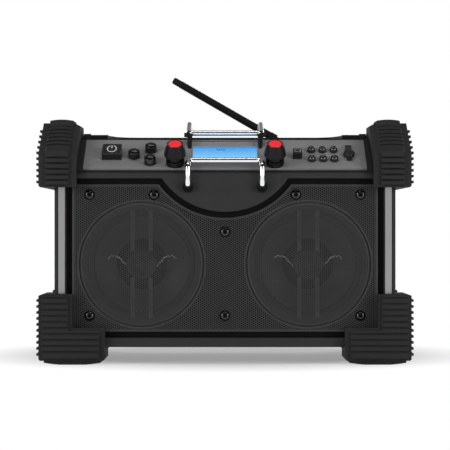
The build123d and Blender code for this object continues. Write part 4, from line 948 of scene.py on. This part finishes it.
direction = node_in(tree, "ShaderNodeTexCoord").outputs["Generated"]
way = node_in(tree, "ShaderNodeSeparateXYZ", direction).outputs
sky_level, screen_level = 0.55, 0.1
overhead = softly(way["Z"], 0.35, 0.80, 1, 0.25)
sky = number(tree, "MULTIPLY", sky_level, overhead)
behind = softly(way["Y"], -0.35, 0.25, 0.25, 1)
ceiling = softly(way["Z"], 0.15, 0.45, 1, 0.2)
horizon = node_in(tree, "ShaderNodeMapRange", way["Z"], 0.16, 0.06, 0, 1).outputs["Result"]
surround = number(tree, "MAXIMUM", number(tree, "MULTIPLY", behind, ceiling), horizon)
sideways = softly(number(tree, "ABSOLUTE", way["X"]), 0.35, 0.6, 0, 1)
past_side = softly(way["Y"], -0.5, -0.2, 0, 1)
screens = number(tree, "MULTIPLY", sideways, past_side)
glossy_ray = node_in(tree, "ShaderNodeLightPath").outputs["Is Glossy Ray"]
in_gloss = number(tree, "MULTIPLY", screens, glossy_ray)
seen = number(tree, "MULTIPLY", surround, between(tree, in_gloss, 1, screen_level))
strength = node_in(tree, "ShaderNodeMix", Factor=seen_directly(tree), A=sky, B=seen).outputs["Result"]
plugged(tree, tree.nodes["Background"], Color=(1, 1, 1, 1), Strength=strength)

for name, stand, width, height, power in (
    ("overhead", (0, -0.35, 1.7), 1.4, 0.1, 5),
    ("left_front", (-1.5, -1.3, 0.7), 0.5, 0.9, 13),
    ("right_front", (1.5, -1.3, 0.7), 0.5, 0.9, 13),
    ("left_rear", (-1.4, 1.5, 0.9), 0.5, 0.9, 7),
    ("right_rear", (1.4, 1.5, 0.9), 0.5, 0.9, 7),
):
    lamp = bpy.data.lights.new(name, "AREA")
    lamp.shape = "RECTANGLE"
    lamp.size = width
    lamp.size_y = height
    lamp.energy = power
    holder = bpy.data.objects.new(name, lamp)
    holder.location = stand
    holder.rotation_euler = (Vector((0, 0, 0.15)) - Vector(stand)).to_track_quat("-Z", "Y").to_euler()
    bpy.context.collection.objects.link(holder)

front_y, eye_z, distance_to_front, width_at_front = -0.115, 0.170, 2.0, 0.5456
camera = bpy.data.cameras.new("camera")
camera.lens = camera.sensor_width * distance_to_front / width_at_front
viewer = bpy.data.objects.new("camera", camera)
viewer.location = (0, front_y - distance_to_front, eye_z)
viewer.rotation_euler = (math.radians(90), 0, 0)
bpy.context.collection.objects.link(viewer)
bpy.context.scene.camera = viewer
bpy.context.scene.view_settings.view_transform = "Standard"
